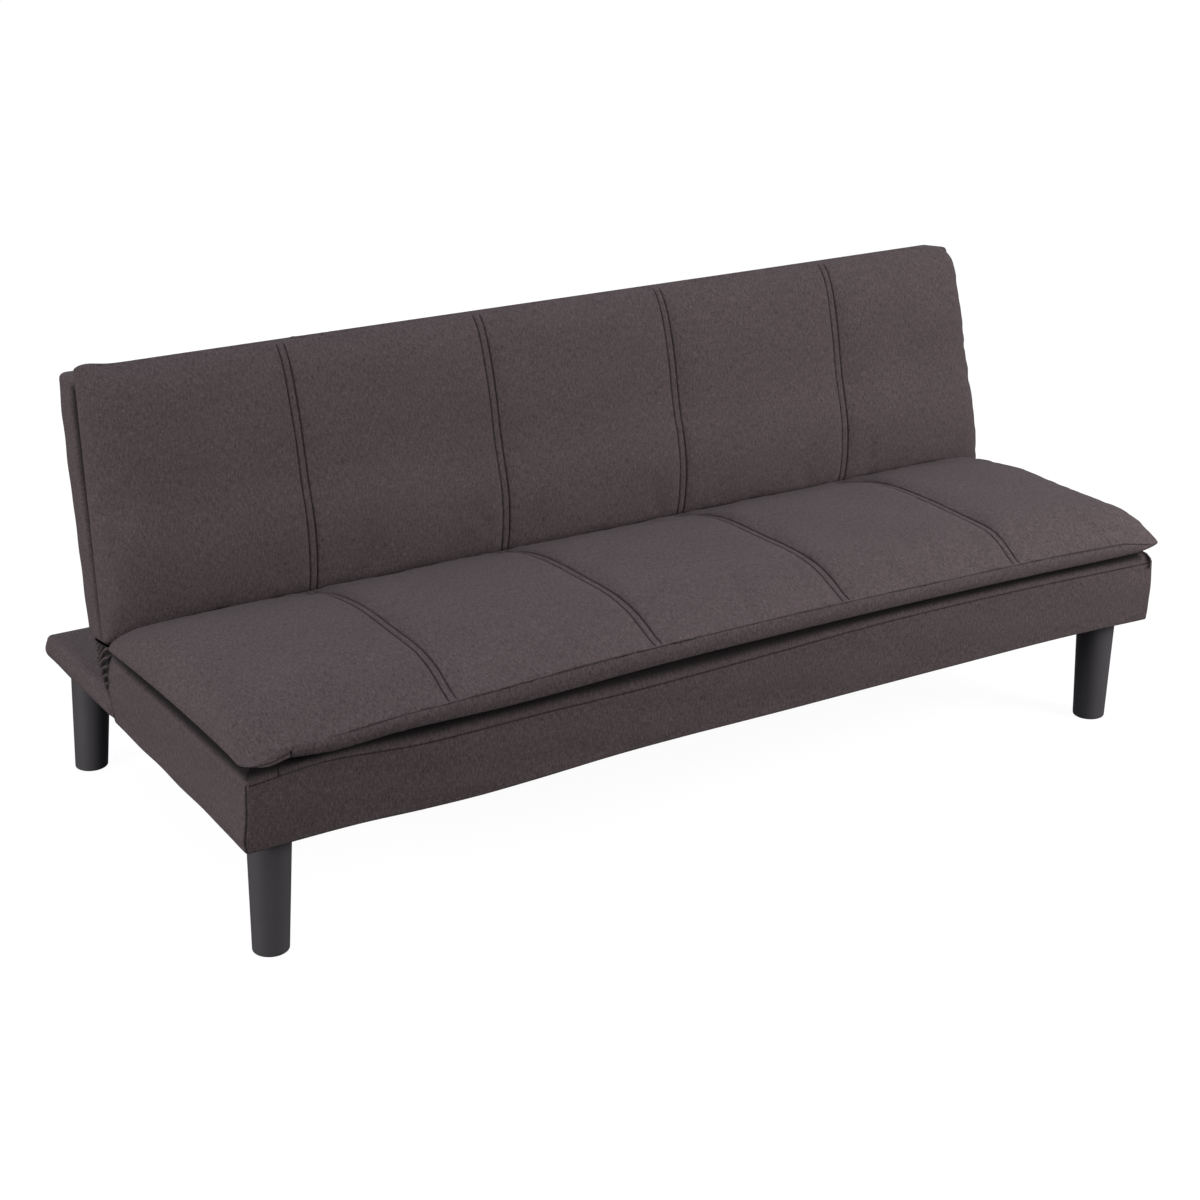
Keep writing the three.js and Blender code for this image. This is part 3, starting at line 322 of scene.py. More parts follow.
class Pad:
    """A sewn pad in its own measures: X along it, depth from its front edge, and height
    above its underside. Shares of the depth run from 0 at the front to 1 at the rear."""

    def __init__(self, half, depth, reach, corners, edge, nose, tuck, swell, puff, valley,
                 end_power, seams, under, lift):
        self.half, self.depth = half, depth
        self.widest, self.corners = reach, corners
        self.edge, self.nose, self.tuck, self.swell = edge, nose, tuck, swell
        self.puff, self.valley, self.end_power = puff, valley, end_power
        self.seams = np.array(seams)
        self.under, self.lift = under, lift
        # Where v passes from the underside to the front edge, the top, the rear edge and out
        self.parts = np.cumsum([0, depth, 30 * MM, depth + 40 * MM, 30 * MM])

    def reach(self, side, p):
        """Half the pad's length on one side at a share of its depth: its drawn outline,
        less a quarter circle at each corner."""
        cut = 0.0
        for number, share_ in enumerate((p, 1 - p)):
            radius = np.where(side < 0, self.corners[number], self.corners[number + 2])
            edge = np.minimum(share_ * self.depth, radius)
            cut = cut + radius - np.sqrt(radius ** 2 - (radius - edge) ** 2)
        return self.widest(side, p) - cut

    def place_x(self, x, p):
        """Columns keep their place in the middle and spread to the pad's outline near its ends."""
        start = self.seams.max() + 50 * MM
        spread = np.clip((np.abs(x) - start) / (self.half - start), 0, 1) ** 2
        side = np.sign(x)
        return x + side * spread * (self.reach(side, p) - self.half)

    def along(self, x):
        return np.sqrt(np.maximum(0, 1 - np.abs(x / self.half) ** self.end_power))

    def seam_distance(self, x):
        return np.min(np.abs(x[..., None] - self.seams), axis=-1)

    def top(self, x, p):
        """Height of the upper side: an edge that falls to the side seam at both ends, a
        swell over the depth, a puff in each panel and a valley along each seam."""
        stops = np.concatenate([[-self.half], self.seams, [self.half]])
        panel = np.clip(np.searchsorted(stops, x, side="right") - 1, 0, len(stops) - 2)
        w = np.clip((x - stops[panel]) / (stops[panel + 1] - stops[panel]), 0, 1)
        puff = self.puff * (4 * w * (1 - w)) ** 0.6
        valley = self.valley * bump(self.seam_distance(x), 20 * MM)
        crown, cover = self.swell(x, p)
        rise = self.edge(x, p) + crown + (puff - valley) * cover
        return self.nose(p) + (rise - self.nose(p)) * self.along(x)

    def bottom(self, x, p):
        """Height of the underside: flat, and turned up to the side seam at both ends."""
        s = np.clip((np.abs(x) - (self.half - self.tuck)) / self.tuck, 0, 1)
        return self.nose(p) * (1 - (1 - s ** 1.6) ** 0.7)

    def surface(self, x, v):
        """The closed skin: v runs forwards under the pad, up its front edge, back over its
        top and down its rear edge."""
        x, v = np.meshgrid(x, v)
        part = np.clip(np.searchsorted(self.parts, v + 1e-9, side="right") - 1, 0, 3)
        t = np.clip((v - self.parts[part]) / np.diff(self.parts)[part], 0, 1)
        p = np.select([part == 0, part == 1, part == 2], [1 - t, 0 * t, t], 1 + 0 * t)
        low, high = self.bottom(x, p), self.top(x, p)
        up = np.select([part == 0, part == 1, part == 2], [0 * t, t, 1 + 0 * t], 1 - t)
        height = low + (high - low) * up
        bulge = np.select([part == 1, part == 3], [-4 * t * (1 - t), 4 * t * (1 - t)], 0.0)
        depth = p * self.depth + bulge * 3 * MM * self.along(x) + self.lift(x, p)
        return np.stack([self.place_x(x, p), depth, height + self.under(x, p)], axis=-1)


def v_of(pad, part, t):
    return pad.parts[part] + np.asarray(t) * np.diff(pad.parts)[part]


def pad_rows(pad, step, edge_steps, border_steps, near):
    """Places along v: close together at the edges of the top, and equal above and below."""
    q = stations(0, pad.depth, step, ends=near)
    p = q / pad.depth
    rise = np.linspace(0, 1, border_steps)
    return np.concatenate([v_of(pad, 0, 1 - p[::-1]), v_of(pad, 1, rise[1:]),
                           v_of(pad, 2, p[1:]), v_of(pad, 3, np.linspace(0, 1, edge_steps)[1:])])


# The stuffing's pressure, how much larger than its shape the cloth is cut, how far the
# settled cloth may move, and the number of frames that it settles for
PRESSURE, SLACK, FARTHEST, FRAMES = 1.5, 0.006, 4 * MM, 20


def settle(pad, name):
    """Lets the pad's cloth settle over its stuffing. A coarse copy of the pad is held along
    its seams and under it, its stuffing presses outwards, and the cloth, cut a little
    large, finds its own puckers. Gives the columns, the rows and how far each point moved."""
    x = stations(-pad.half, pad.half, 12 * MM, pad.seams, mm(-6, 6), mm(0, 3, 8, 15, 24, 34))
    v = pad_rows(pad, 12 * MM, 3, 4, mm(0, 3, 9, 18))
    points = pad.surface(x, v)
    rows, columns = len(v), len(x)
    piece = mesh_object(name + "_settling", points, grid_quads(rows, columns))
    corners, own = weld(points.reshape(-1, 3))
    grid_x, grid_v = np.meshgrid(x, v)
    top = (grid_v > pad.parts[2] - 1e-6) & (grid_v < pad.parts[3] + 1e-6)
    hold = np.where(top, 0.0, 1.0)
    hold = np.where(np.abs(grid_v - pad.parts[2]) < 1e-6, 0.9, hold)
    hold = np.where(pad.seam_distance(grid_x) < 7 * MM, np.maximum(hold, 0.95), hold)
    hold = np.where(np.abs(grid_x) > pad.half - 1e-6, 1.0, hold)
    weights = np.zeros(len(corners))
    np.maximum.at(weights, own, hold.ravel())
    group = piece.vertex_groups.new(name="hold")
    for level in np.unique(weights[weights > 0]):
        group.add(np.flatnonzero(weights == level).tolist(), float(level), "REPLACE")
    cloth = piece.modifiers.new("Cloth", "CLOTH")
    stiffness = {"tension_stiffness": 20, "compression_stiffness": 20, "shear_stiffness": 8,
                 "bending_stiffness": 0.6}
    for setting, value in {"vertex_group_mass": "hold", "quality": 6, "mass": 0.25,
                           "use_pressure": True, "uniform_pressure_force": PRESSURE,
                           "shrink_min": -SLACK, **stiffness}.items():
        setattr(cloth.settings, setting, value)
    cloth.settings.effector_weights.gravity = 0
    cloth.collision_settings.use_collision = False
    cloth.point_cache.frame_start, cloth.point_cache.frame_end = 1, FRAMES
    for number in range(1, FRAMES + 1):
        bpy.context.scene.frame_set(number)
    settled = piece.evaluated_get(bpy.context.evaluated_depsgraph_get())
    after = np.zeros(len(corners) * 3)
    settled.data.vertices.foreach_get("co", after)
    bpy.context.scene.frame_set(1)
    moved = after.reshape(-1, 3) - corners
    size = np.linalg.norm(moved, axis=1, keepdims=True)
    moved *= FARTHEST * np.tanh(size / FARTHEST) / np.maximum(size, 1e-9)
    bpy.data.objects.remove(piece)
    return x, v, moved[own].reshape(rows, columns, 3)


# Distances of the fine columns from a seam and from a pleat
BESIDE_SEAM = mm(1.7, 3.4, 4.6, 5.4, 6, 6.6, 7.4, 8.6, 10, 12.5, 16, 21, 27, 34)
BESIDE_PLEAT = mm(-4.5, -2.6, -1.5, -0.7, 0, 0.7, 1.5, 2.6, 4.5)


def dressed_pad(pad, name, detail, pleats):
    """The fine skin of a pad: its drawn shape, the settled cloth's movement spread over it,
    and the small detail pushed out along its normals."""
    x = stations(-pad.half, pad.half, 7.5 * MM, pad.seams,
                 np.r_[-BESIDE_SEAM[::-1], 0, BESIDE_SEAM], 0.35 * np.arange(14) ** 2 * MM)
    for place in pleats:
        x = np.unique(np.r_[x[np.abs(x - place) > 5 * MM], place + BESIDE_PLEAT])
    v = pad_rows(pad, 7.5 * MM, 7, 15, 0.3 * np.arange(13) ** 2 * MM)
    points = pad.surface(x, v)
    knots_x, knots_v, moved = settle(pad, name)
    by_row, by_column = smooth_between(knots_v, v), smooth_between(knots_x, x)
    moved[-1] = moved[0]
    points += np.einsum("ij,jkc,lk->ilc", by_row, moved, by_column)
    grid_x, grid_v = np.meshgrid(x, v)
    normals = outward_normals(points)
    offset, painted_shade = detail(pad, grid_x, grid_v)
    to_side = pad.half - np.abs(grid_x)
    inside = np.minimum(np.minimum(grid_v, pad.depth - grid_v), to_side)
    # Painted shade on the pad's underside, away from its edges
    painted_shade = np.maximum(painted_shade, (grid_v < pad.parts[1]) * ramp(5, 15, inside))
    points += normals * (offset * ramp(0, 6, to_side))[..., None]
    points[-1] = points[0]
    columns = run_length(points[np.searchsorted(v, v_of(pad, 2, 0.5))])
    rows = run_length(points[:, len(x) // 2])
    uv = np.stack(np.meshgrid(columns, rows), axis=-1)
    return x, v, points, normals, uv, painted_shade


def seam_detail(pad, x, depth, row_depth, strength):
    """Two sewn lines with a soft ridge between them and short puckers beside them, and painted
    shade in the sewn lines.
    """
    offset, painted_shade = 0 * x, 0 * x
    for number, seam in enumerate(pad.seams):
        d = x - seam
        lines = bump(d - STITCH_SPACING / 2, 1.3 * MM) + bump(d + STITCH_SPACING / 2, 1.3 * MM)
        pucker = ripple(row_depth, mm(9.5, 13, 21), 20 + number)
        beside = bump(np.abs(d) - 10 * MM, 5 * MM)
        raised = 0.5 * bump(d, 3.2 * MM) + 0.22 * pucker * beside
        offset += strength * (raised * MM - depth * lines)
        painted_shade = np.maximum(painted_shade, 0.72 * strength * np.clip(lines, 0, 1))
    return offset, painted_shade


# Threads

def capsule():
    """A short thread from -1/2 to 1/2 along X, in five rings of six points, and its quads."""
    along = np.array([-0.5, -0.42, 0.0, 0.42, 0.5])
    radius = np.array([0.0, 0.8, 1.0, 0.8, 0.0])
    turn = np.linspace(0, TAU, 7)
    ring = np.stack([np.cos(turn), np.sin(turn)], axis=-1)
    points = np.concatenate([np.repeat(along[:, None, None], 7, axis=1),
                             radius[:, None, None] * ring[None]], axis=-1)
    return points.reshape(-1, 3), grid_quads(5, 7)


def stitches(name, lines, body):
    """Short threads along each line of places and normals: one for each pitch, laid in the
    line's direction and sunk by half its radius."""
    sizes, _ = settings()
    pitch, radius = sizes.stitch_pitch, sizes.thread_radius
    shape, quads = capsule()
    thread = shape * [pitch * 0.74, radius, radius] + [0, 0, 0.5 * radius]
    threads = []
    for places, normals in lines:
        run = run_length(places)
        middles = np.arange(pitch, run[-1] - pitch / 2, pitch)
        spots, out, ahead = (
            np.stack([np.interp(at, run, values[:, k]) for k in range(3)], axis=-1)
            for at, values in ((middles, places), (middles, normals),
                               (middles + pitch / 4, places)))
        ahead = unit(ahead - spots)
        side = unit(np.cross(out, ahead))
        axes = np.stack([ahead, side, np.cross(ahead, side)], axis=1)
        threads.append(spots[:, None] + thread @ axes)
    points = np.concatenate(threads)
    all_quads = quads[None] + np.arange(len(points))[:, None, None] * len(shape)
    piece = mesh_object(name, points, all_quads.reshape(-1, 4),
                        flip=signed_volume(points[0], quads) < 0)
    finish_piece(piece, body, sewing_thread())


# Materials

class Value:
    """A node's socket that Python's own operators work on."""

    def __init__(self, nodes, socket):
        self.nodes, self.socket = nodes, socket

    def maths(self, operation, *others):
        sockets = dict(enumerate((self, *others)))
        return self.nodes.node("ShaderNodeMath", {"operation": operation}, sockets)

    def __add__(self, other):
        return self.maths("ADD", other)

    def __mul__(self, other):
        return self.maths("MULTIPLY", other)

    def __sub__(self, other):
        return self.maths("SUBTRACT", other)

    def __rsub__(self, other):
        return self.maths("MULTIPLY", -1.0).maths("ADD", other)

    def __pow__(self, other):
        return self.maths("POWER", other)

    def __gt__(self, other):
        return self.maths("GREATER_THAN", other)

    def __abs__(self):
        return self.maths("ABSOLUTE")

    def sine(self):
        return self.maths("SINE")

    def clamped(self):
        return self.nodes.node("ShaderNodeClamp", {}, {"Value": self})

    def varied(self, spread):
        """A factor that goes up and down round one, from a noise."""
        return (self - 0.5) * spread + 1.0

    __radd__, __rmul__ = __add__, __mul__


class Nodes:
    """A tree of nodes."""

    def __init__(self, tree):
        self.tree = tree

    def put(self, socket, value):
        if isinstance(value, Value):
            self.tree.links.new(value.socket, socket)
        else:
            socket.default_value = value

    def node(self, kind, settings, sockets, output=0):
        made = self.tree.nodes.new(kind)
        for name, value in settings.items():
            setattr(made, name, value)
        for name, value in sockets.items():
            self.put(made.inputs[name], value)
        return Value(self, made.outputs[output])

    def mix(self, factor, a, b, blend="MIX"):
        """Two colours, mixed."""
        a, b = (v if isinstance(v, Value) else (*v, 1) for v in (a, b))
        settings = {"data_type": "RGBA", "blend_type": blend}
        return self.node("ShaderNodeMix", settings, {0: factor, 6: a, 7: b}, output=2)

    def shaded(self, tone, factor):
        """A colour made lighter or darker by a factor."""
        grey = self.node("ShaderNodeCombineColor", {}, {0: factor, 1: factor, 2: factor})
        return self.mix(1.0, tone, grey, "MULTIPLY")

    def places(self):
        return self.node("ShaderNodeTexCoord", {}, {}, "Object")

    def axis(self, vector, number):
        return self.node("ShaderNodeSeparateXYZ", {}, {0: vector}, number)

    def scaled(self, vector, factors):
        return self.node("ShaderNodeMapping", {}, {"Vector": vector, "Scale": factors})

    def noise(self, vector, scale, detail=2.0, rough=0.5):
        return self.node("ShaderNodeTexNoise", {}, {"Vector": vector, "Scale": scale,
                                                    "Detail": detail, "Roughness": rough})

    def cells(self, scale, feature="F1"):
        return self.node("ShaderNodeTexVoronoi", {"feature": feature},
                         {"Vector": self.places(), "Scale": scale})

    def relief(self, height, distance, strength=1.0):
        return self.node("ShaderNodeBump", {}, {"Height": height, "Distance": distance,
                                                "Strength": strength})


class Finish(Nodes):
    """A material's nodes, ending in one Principled shader."""

    def __init__(self, name):
        self.material = bpy.data.materials.new(name)
        self.material.use_nodes = True
        super().__init__(self.material.node_tree)
        self.tree.nodes.clear()
        self.shader = self.tree.nodes.new("ShaderNodeBsdfPrincipled")
        output = self.tree.nodes.new("ShaderNodeOutputMaterial")
        self.put(output.inputs["Surface"], Value(self, self.shader.outputs[0]))

    def done(self, **sockets):
        for name, value in sockets.items():
            self.put(self.shader.inputs[name.replace("_", " ")], value)
        return self.material


def woven_cloth(warp, weft, pitch, heather):
    """A plain weave. Along both ways of the cloth the yarns are half sines a pitch wide;
    the upper one at a crossing is warp where both sines have one sign. The yarns' crowns are
    painted lighter and the hollows between them darker, as painted shade. Each yarn has its
    own shade, streaked along its run, over a broad unevenness of dye and nap. The seam
    attribute carries painted shade: it darkens the sewn lines, the folds and creases, the
    pads' undersides and the gaps between pieces."""
    g = Finish("sofa_cloth")
    cloth = g.node("ShaderNodeUVMap", {"uv_map": "cloth"}, {})
    across, down = ((g.axis(cloth, k) * (math.pi / pitch)).sine() for k in range(2))
    crossing = across * down
    height = abs(crossing) ** 0.5
    wide, long = 0.9 / pitch, 0.09 / pitch
    upper, lower = (
        g.shaded(tone, g.noise(g.scaled(cloth, stretch), 1.0, 2.0, 0.6).varied(2.4 * heather))
        for tone, stretch in ((warp, (wide, long, 1)), (weft, (long, wide, 1))))
    nap = g.noise(g.places(), 300.0, 3.0, 0.65)
    slub = g.noise(g.scaled(cloth, (430, 95, 1)), 1.0, 3.0, 0.6)
    broad = g.noise(g.places(), 9.0, 3.0, 0.55)
    # Painted shade: the seam attribute darkens grooves, folds, gaps and undersides, and the yarns'
    # crowns are lighter than their hollows
    seam = g.node("ShaderNodeAttribute", {"attribute_name": "seam"}, {}, "Fac")
    shade = (height * 0.30 + 0.80) * nap.varied(1.6) * slub.varied(1.4) * broad.varied(0.22)
    body = g.shaded(g.mix(crossing > 0.0, lower, upper), shade * (1.0 - seam * 0.88))
    return g.done(Base_Color=body, Roughness=0.95, Sheen_Weight=0.05, Sheen_Roughness=0.45,
                  Sheen_Tint=(0.9, 0.85, 0.87, 1), Specular_IOR_Level=0.25,
                  Normal=g.relief(height + (nap - 0.5) * 0.6, 0.22 * MM, 0.8))


def twisted_thread(tone):
    """Sewing thread: a fine twist, lighter and darker."""
    g = Finish("sewing_thread")
    twist = g.noise(g.places(), 900.0, 2.0)
    return g.done(Base_Color=g.shaded(tone, twist.varied(0.8)), Roughness=0.7,
                  Normal=g.relief(twist, 0.05 * MM))


def moulded_plastic(tone):
    """Satin black plastic: a fine grain, faint rubs and a little unevenness of gloss."""
    g = Finish("moulded_plastic")
    cloud = g.noise(g.places(), 14.0, 3.0)
    rub = g.noise(g.scaled(g.places(), (60, 60, 9)), 1.0, 4.0, 0.7)
    body = g.mix((cloud - 0.35).clamped() * 0.5, tone, tuple(1.35 * c for c in tone))
    return g.done(Base_Color=body, Roughness=0.40 + (cloud - 0.5) * 0.16 + (rub - 0.5) * 0.12,
                  Normal=g.relief(g.noise(g.places(), 1400.0, 2.0), 0.04 * MM, 0.5))


def nonwoven(tone):
    """Thin pressed fibre cloth: tangled fibres and a grid of small bonded dots."""
    g = Finish("nonwoven_cloth")
    fibre = g.noise(g.places(), 700.0, 4.0, 0.7)
    height = fibre * 0.6 + (g.cells(420.0) * 3.0).clamped() * 0.4
    return g.done(Base_Color=g.shaded(tone, fibre.varied(0.8)), Roughness=0.9,
                  Normal=g.relief(height, 0.15 * MM, 0.7))


def timber(name, light, dark, along, ply=0.0):
    """Grain along one axis: stretched noise bent into rings, with plies seen in the edge."""
    g = Finish(name)
    stretch = tuple(3.0 if axis == along else 34.0 for axis in range(3))
    figure = g.noise(g.scaled(g.places(), stretch), 1.0, 4.0, 0.6)
    fine = g.noise(g.scaled(g.places(), tuple(7 * s for s in stretch)), 1.0, 3.0, 0.6)
    amount = abs((figure * 26.0).sine()) * 0.55 + fine * 0.45
    if ply:
        layers = abs((g.axis(g.places(), 2) * (math.pi / ply)).sine())
        amount = amount * 0.7 + layers * 0.3
    return g.done(Base_Color=g.mix(amount, dark, light), Roughness=0.62 + (fine - 0.5) * 0.2,
                  Normal=g.relief(fine, 0.15 * MM, 0.4))


def plated_steel(name, tone, roughness, brush):
    """Plated or sprung steel: brushed lines, cloudy zinc crystals and small scuffs."""
    g = Finish(name)
    lines = g.noise(g.scaled(g.places(), brush), 1.0, 3.0, 0.6)
    body = g.mix(g.cells(160.0, "SMOOTH_F1") * 0.5, tone, tuple(0.72 * c for c in tone))
    return g.done(Base_Color=body, Metallic=0.95, Roughness=roughness + (lines - 0.5) * 0.25,
                  Normal=g.relief(lines, 0.03 * MM, 0.5))


def stuffing():
    """Open foam: small cells, yellowed a little in clouds."""
    g = Finish("foam")
    cells = g.cells(650.0)
    cloud = g.noise(g.places(), 8.0, 3.0)
    body = g.shaded(g.mix(cells, (0.72, 0.63, 0.42), (0.50, 0.42, 0.27)), cloud.varied(0.3))
    return g.done(Base_Color=body, Roughness=0.95, Normal=g.relief(cells, 0.4 * MM, 0.6))


def strap_webbing():
    """Elastic webbing: a rib every 2.2 mm along X, under a light fuzz."""
    g = Finish("elastic_webbing")
    ribs = abs((g.axis(g.places(), 0) * (math.pi / (2.2 * MM))).sine())
    fuzz = g.noise(g.places(), 500.0, 3.0)
    body = g.mix(ribs * 0.5 + fuzz * 0.3, (0.012, 0.012, 0.013), (0.045, 0.043, 0.047))
    return g.done(Base_Color=body, Roughness=0.85, Normal=g.relief(ribs + fuzz, 0.2 * MM, 0.6))


def once(name, make):
    """A material by its name, made on first use."""
    return bpy.data.materials.get(name) or make()


def settings():
    return bpy.context.scene.sofa_sizes, bpy.context.scene.sofa_finishes


def sofa_cloth():
    _, f = settings()
    return once("sofa_cloth", lambda: woven_cloth(tuple(f.warp), tuple(f.weft), f.yarn_pitch,
                                                  f.heather))


def sewing_thread():
    _, f = settings()
    return once("sewing_thread", lambda: twisted_thread(tuple(f.thread)))


# The pieces

SEAMS = mm(-520, -174, 174, 520)
PAD_FRONT = BOX_FRONT - 15 * MM
PAD_DEPTH = 484 * MM
PLEAT = -785 * MM

# The soft front edges along X, all in mm: the seat pad's lower edge above the floor, the
# height of its border, and the box cover's hem and sewn line above the floor
PAD_LOWER_EDGE = [(-846, 324.5), (-817, 325.4), (-790, 331), (-767, 329.3), (-730, 326.2),
                  (-607, 329.8), (-444, 328.2), (-160, 335.2), (83, 336.5), (400, 334.7),
                  (600, 331), (748, 327.3), (846, 327)]
BORDER_HEIGHT = [(-846, 9), (-800, 17), (-740, 21), (-606, 23.4), (-375, 31), (-100, 29),
                 (81, 28.4), (368, 25.4), (600, 24.5), (700, 23), (769, 20.8), (825, 11.5),
                 (846, 9)]
HEM = [(-836, 193.5), (-775, 194.5), (-666, 195), (-560, 191), (-480, 189.5), (-380, 191.5),
       (-254, 196.3), (99, 196.8), (387, 197), (683, 195), (836, 189.5)]
STRIP_SEAM = [(-836, 294.5), (-818, 295.6), (-730, 304), (-569, 294.9), (-334, 295.2),
              (-105, 296.2), (238, 305.2), (538, 303.5), (836, 294)]


def seat_under(x, p):
    """The seat pad's underside rides on the bowed box, and its front edge has its own wave."""
    sizes, _ = settings()
    rest = seat_bow(x, PAD_FRONT + p * PAD_DEPTH, sizes.bow) + 0.8 * MM
    return rest + (through(PAD_LOWER_EDGE, x) - PAD_FLOOR - rest) * smoothstep(0.12, 0, p)


def seat_swell(x, p):
    """Rise of the seat over its edge: from the stitched front it starts slowly and is full
    after about 100 mm, sooner towards the right end, and falls off over the rear fifth."""
    sizes, _ = settings()
    front, rear = p * PAD_DEPTH, (1 - p) * PAD_DEPTH
    reach = through([(-846, 42), (-650, 56), (0, 60), (500, 44), (760, 32), (846, 26)], x)
    cover = (1 - np.exp(-(front / reach) ** 1.6)) * (1 - np.exp(-(rear / (88 * MM)) ** 1.5))
    flatter = 8 * MM * ramp(60, 150, front) + 6 * MM * bump(front - 390 * MM, 45 * MM)
    return (sizes.seat_crown - flatter * ramp(620, 800, x)) * cover, cover


def seat_pad_shape():
    sizes, _ = settings()

    def edge(x, p):
        front = through(BORDER_HEIGHT, x) + sizes.border - 27 * MM
        rear = (26 + 12 * p * p) * MM
        return rear + (front - rear) * smoothstep(0.25, 0, p)

    return Pad(half=846 * MM, depth=PAD_DEPTH, edge=edge, corners=mm(18, 12, 18, 12),
               reach=lambda side, p: (845 + 10 * p - 20 * p * (1 - p)) * MM,
               nose=lambda p: (7 + 6 * np.asarray(p) ** 0.8) * MM, tuck=46 * MM,
               swell=seat_swell, puff=sizes.panel_puff, valley=3 * MM, end_power=24,
               seams=SEAMS, under=seat_under, lift=lambda x, p: 0 * x)


def pad_face(pad, x, v, seam_end, pulls, uneven):
    """What both pads have on top: sewn lines that fade out at the edges, soft pulls along
    the sides and a broad unevenness, each with its size in mm. Gives the distance and the
    share up the face, where the face is, the push along the normals and the painted shade in
    the sewn lines."""
    sizes, _ = settings()
    q = v - pad.parts[2]
    p = np.clip(q / (pad.parts[3] - pad.parts[2]), 0, 1)
    face = (q >= -1e-9) & (v <= pad.parts[3] + 1e-9)
    strength = face * ramp(0, 9, q) * smoothstep(1, seam_end, p)
    offset, painted_shade = seam_detail(pad, x, sizes.seam_depth, q, strength)
    size, width, lengths, seed = pulls
    near_side = ramp(width, 2, pad.half - np.abs(x))
    offset += face * size * MM * near_side * ripple(p * pad.depth, lengths, seed)
    size, lengths, seed = uneven
    offset += face * size * MM * dapple(x, p * pad.depth, lengths, seed)
    return q, p, face, offset, painted_shade


def seat_detail(pad, x, v):
    """Sewn lines, the stitched edge over the border with the cloth that bulges above it,
    small puckers beside it, and the pleat and roll at the border's left end. The stitched
    edge, the pleat and the low sewn line at the tip are darkened with painted shade."""
    q, _, face, offset, painted_shade = pad_face(pad, x, v, 0.97, (0.9, 55, mm(31, 47, 23, 66), 77),
                                         (0.8, [0.11, 0.16, 0.23, 0.31], 9))
    sewn = ramp(-735, -690, x)
    line = bump(q, 1.1 * MM) * sewn
    above = bump(q - 11 * MM, 7 * MM) * face * sewn
    gather = ripple(x, mm(17, 26, 41), 31) * bump(np.abs(q) - 5 * MM, 5 * MM)
    border = (v > pad.parts[1]) & (v < pad.parts[2])
    rise = np.clip((v - pad.parts[1]) / (pad.parts[2] - pad.parts[1]), 0, 1)
    left = border * smoothstep(PLEAT + 1 * MM, PLEAT - 2 * MM, x)
    fold = bump(x - PLEAT, 1.2 * MM) * border * smoothstep(0.75, 0.55, rise)
    low_line = bump((rise - 0.42) * 17 * MM, 1 * MM) * left * ramp(-846, -838, x)
    roll = bump(rise - 0.2, 0.16) * left * ramp(-846, -835, x)
    offset += (0.7 * above + 0.35 * gather + 2.0 * roll
               - 0.9 * line - 2.2 * fold - 0.9 * low_line) * MM
    return offset, np.maximum.reduce([painted_shade, 0.8 * line, fold, 0.8 * low_line])


def back_swell(x, p):
    """Rise of the back pad over its edge: full soon after the foot, fullest at a quarter of
    its height, and falling off more slowly to the top."""
    sizes, _ = settings()
    power = np.where(p < 0.5, 4.0, 2.7)
    cover = np.sqrt(np.maximum(0, 1 - np.abs(2 * p - 1) ** power))
    return (sizes.back_crown + 11 * MM * bump(p - 0.28, 0.2)) * cover, cover


# Half the back pad's length on its right, at thousandths of its height
BACK_RIGHT = [(0, 867), (100, 858.5), (250, 849.5), (500, 839.5), (750, 830), (1000, 821)]


def back_pad_shape():
    sizes, _ = settings()

    def lift(x, p):
        """The top edge hangs a little lower to the right, and stands up at its left corner."""
        low = 1.5 + 3 * ramp(-800, 800, x)
        return (6 * bump(x + 838 * MM, 30 * MM) - low) * MM * p ** 5

    return Pad(half=852 * MM, depth=419 * MM, corners=mm(3, 4, 5, 45), lift=lift,
               reach=lambda side, p: np.where(side < 0, (855 - 8 * p) * MM,
                                              through(BACK_RIGHT, p)),
               edge=lambda x, p: (25 - 14 * p) * MM, nose=lambda p: (11 - 2 * np.asarray(p)) * MM,
               tuck=24 * MM, swell=back_swell, puff=sizes.panel_puff * 0.9, valley=3 * MM,
               end_power=28, seams=SEAMS, under=lambda x, p: 0 * x)


def back_detail(pad, x, v):
    """Sewn lines from foot to top, soft puckers along the rolled edges, and the shade where
    the seat pad lies against the foot."""
    q, p, face, offset, painted_shade = pad_face(pad, x, v, 0.985, (0.5, 60, mm(29, 43, 61), 55),
                                         (0.9, [0.12, 0.18, 0.26, 0.35], 12))
    offset += face * 0.5 * MM * smoothstep(0.88, 1, p) * ripple(x, mm(37, 53, 90), 56)
    by_seat = ramp(34, 29, q) * ramp(790, 680, np.abs(x))
    return offset, np.maximum(painted_shade, face * 0.95 * by_seat)


def seat_to_room(points):
    return points + np.array([0, PAD_FRONT, PAD_FLOOR])


def back_to_room(points):
    """The pad lies on the board's front face, with its depth up the board from its foot."""
    x, up, out = (points[..., k] for k in range(3))
    return board_to_room(np.stack([x + 11 * MM, BOARD_FRONT - 0.3 * MM - out, 20 * MM + up],
                                  axis=-1))


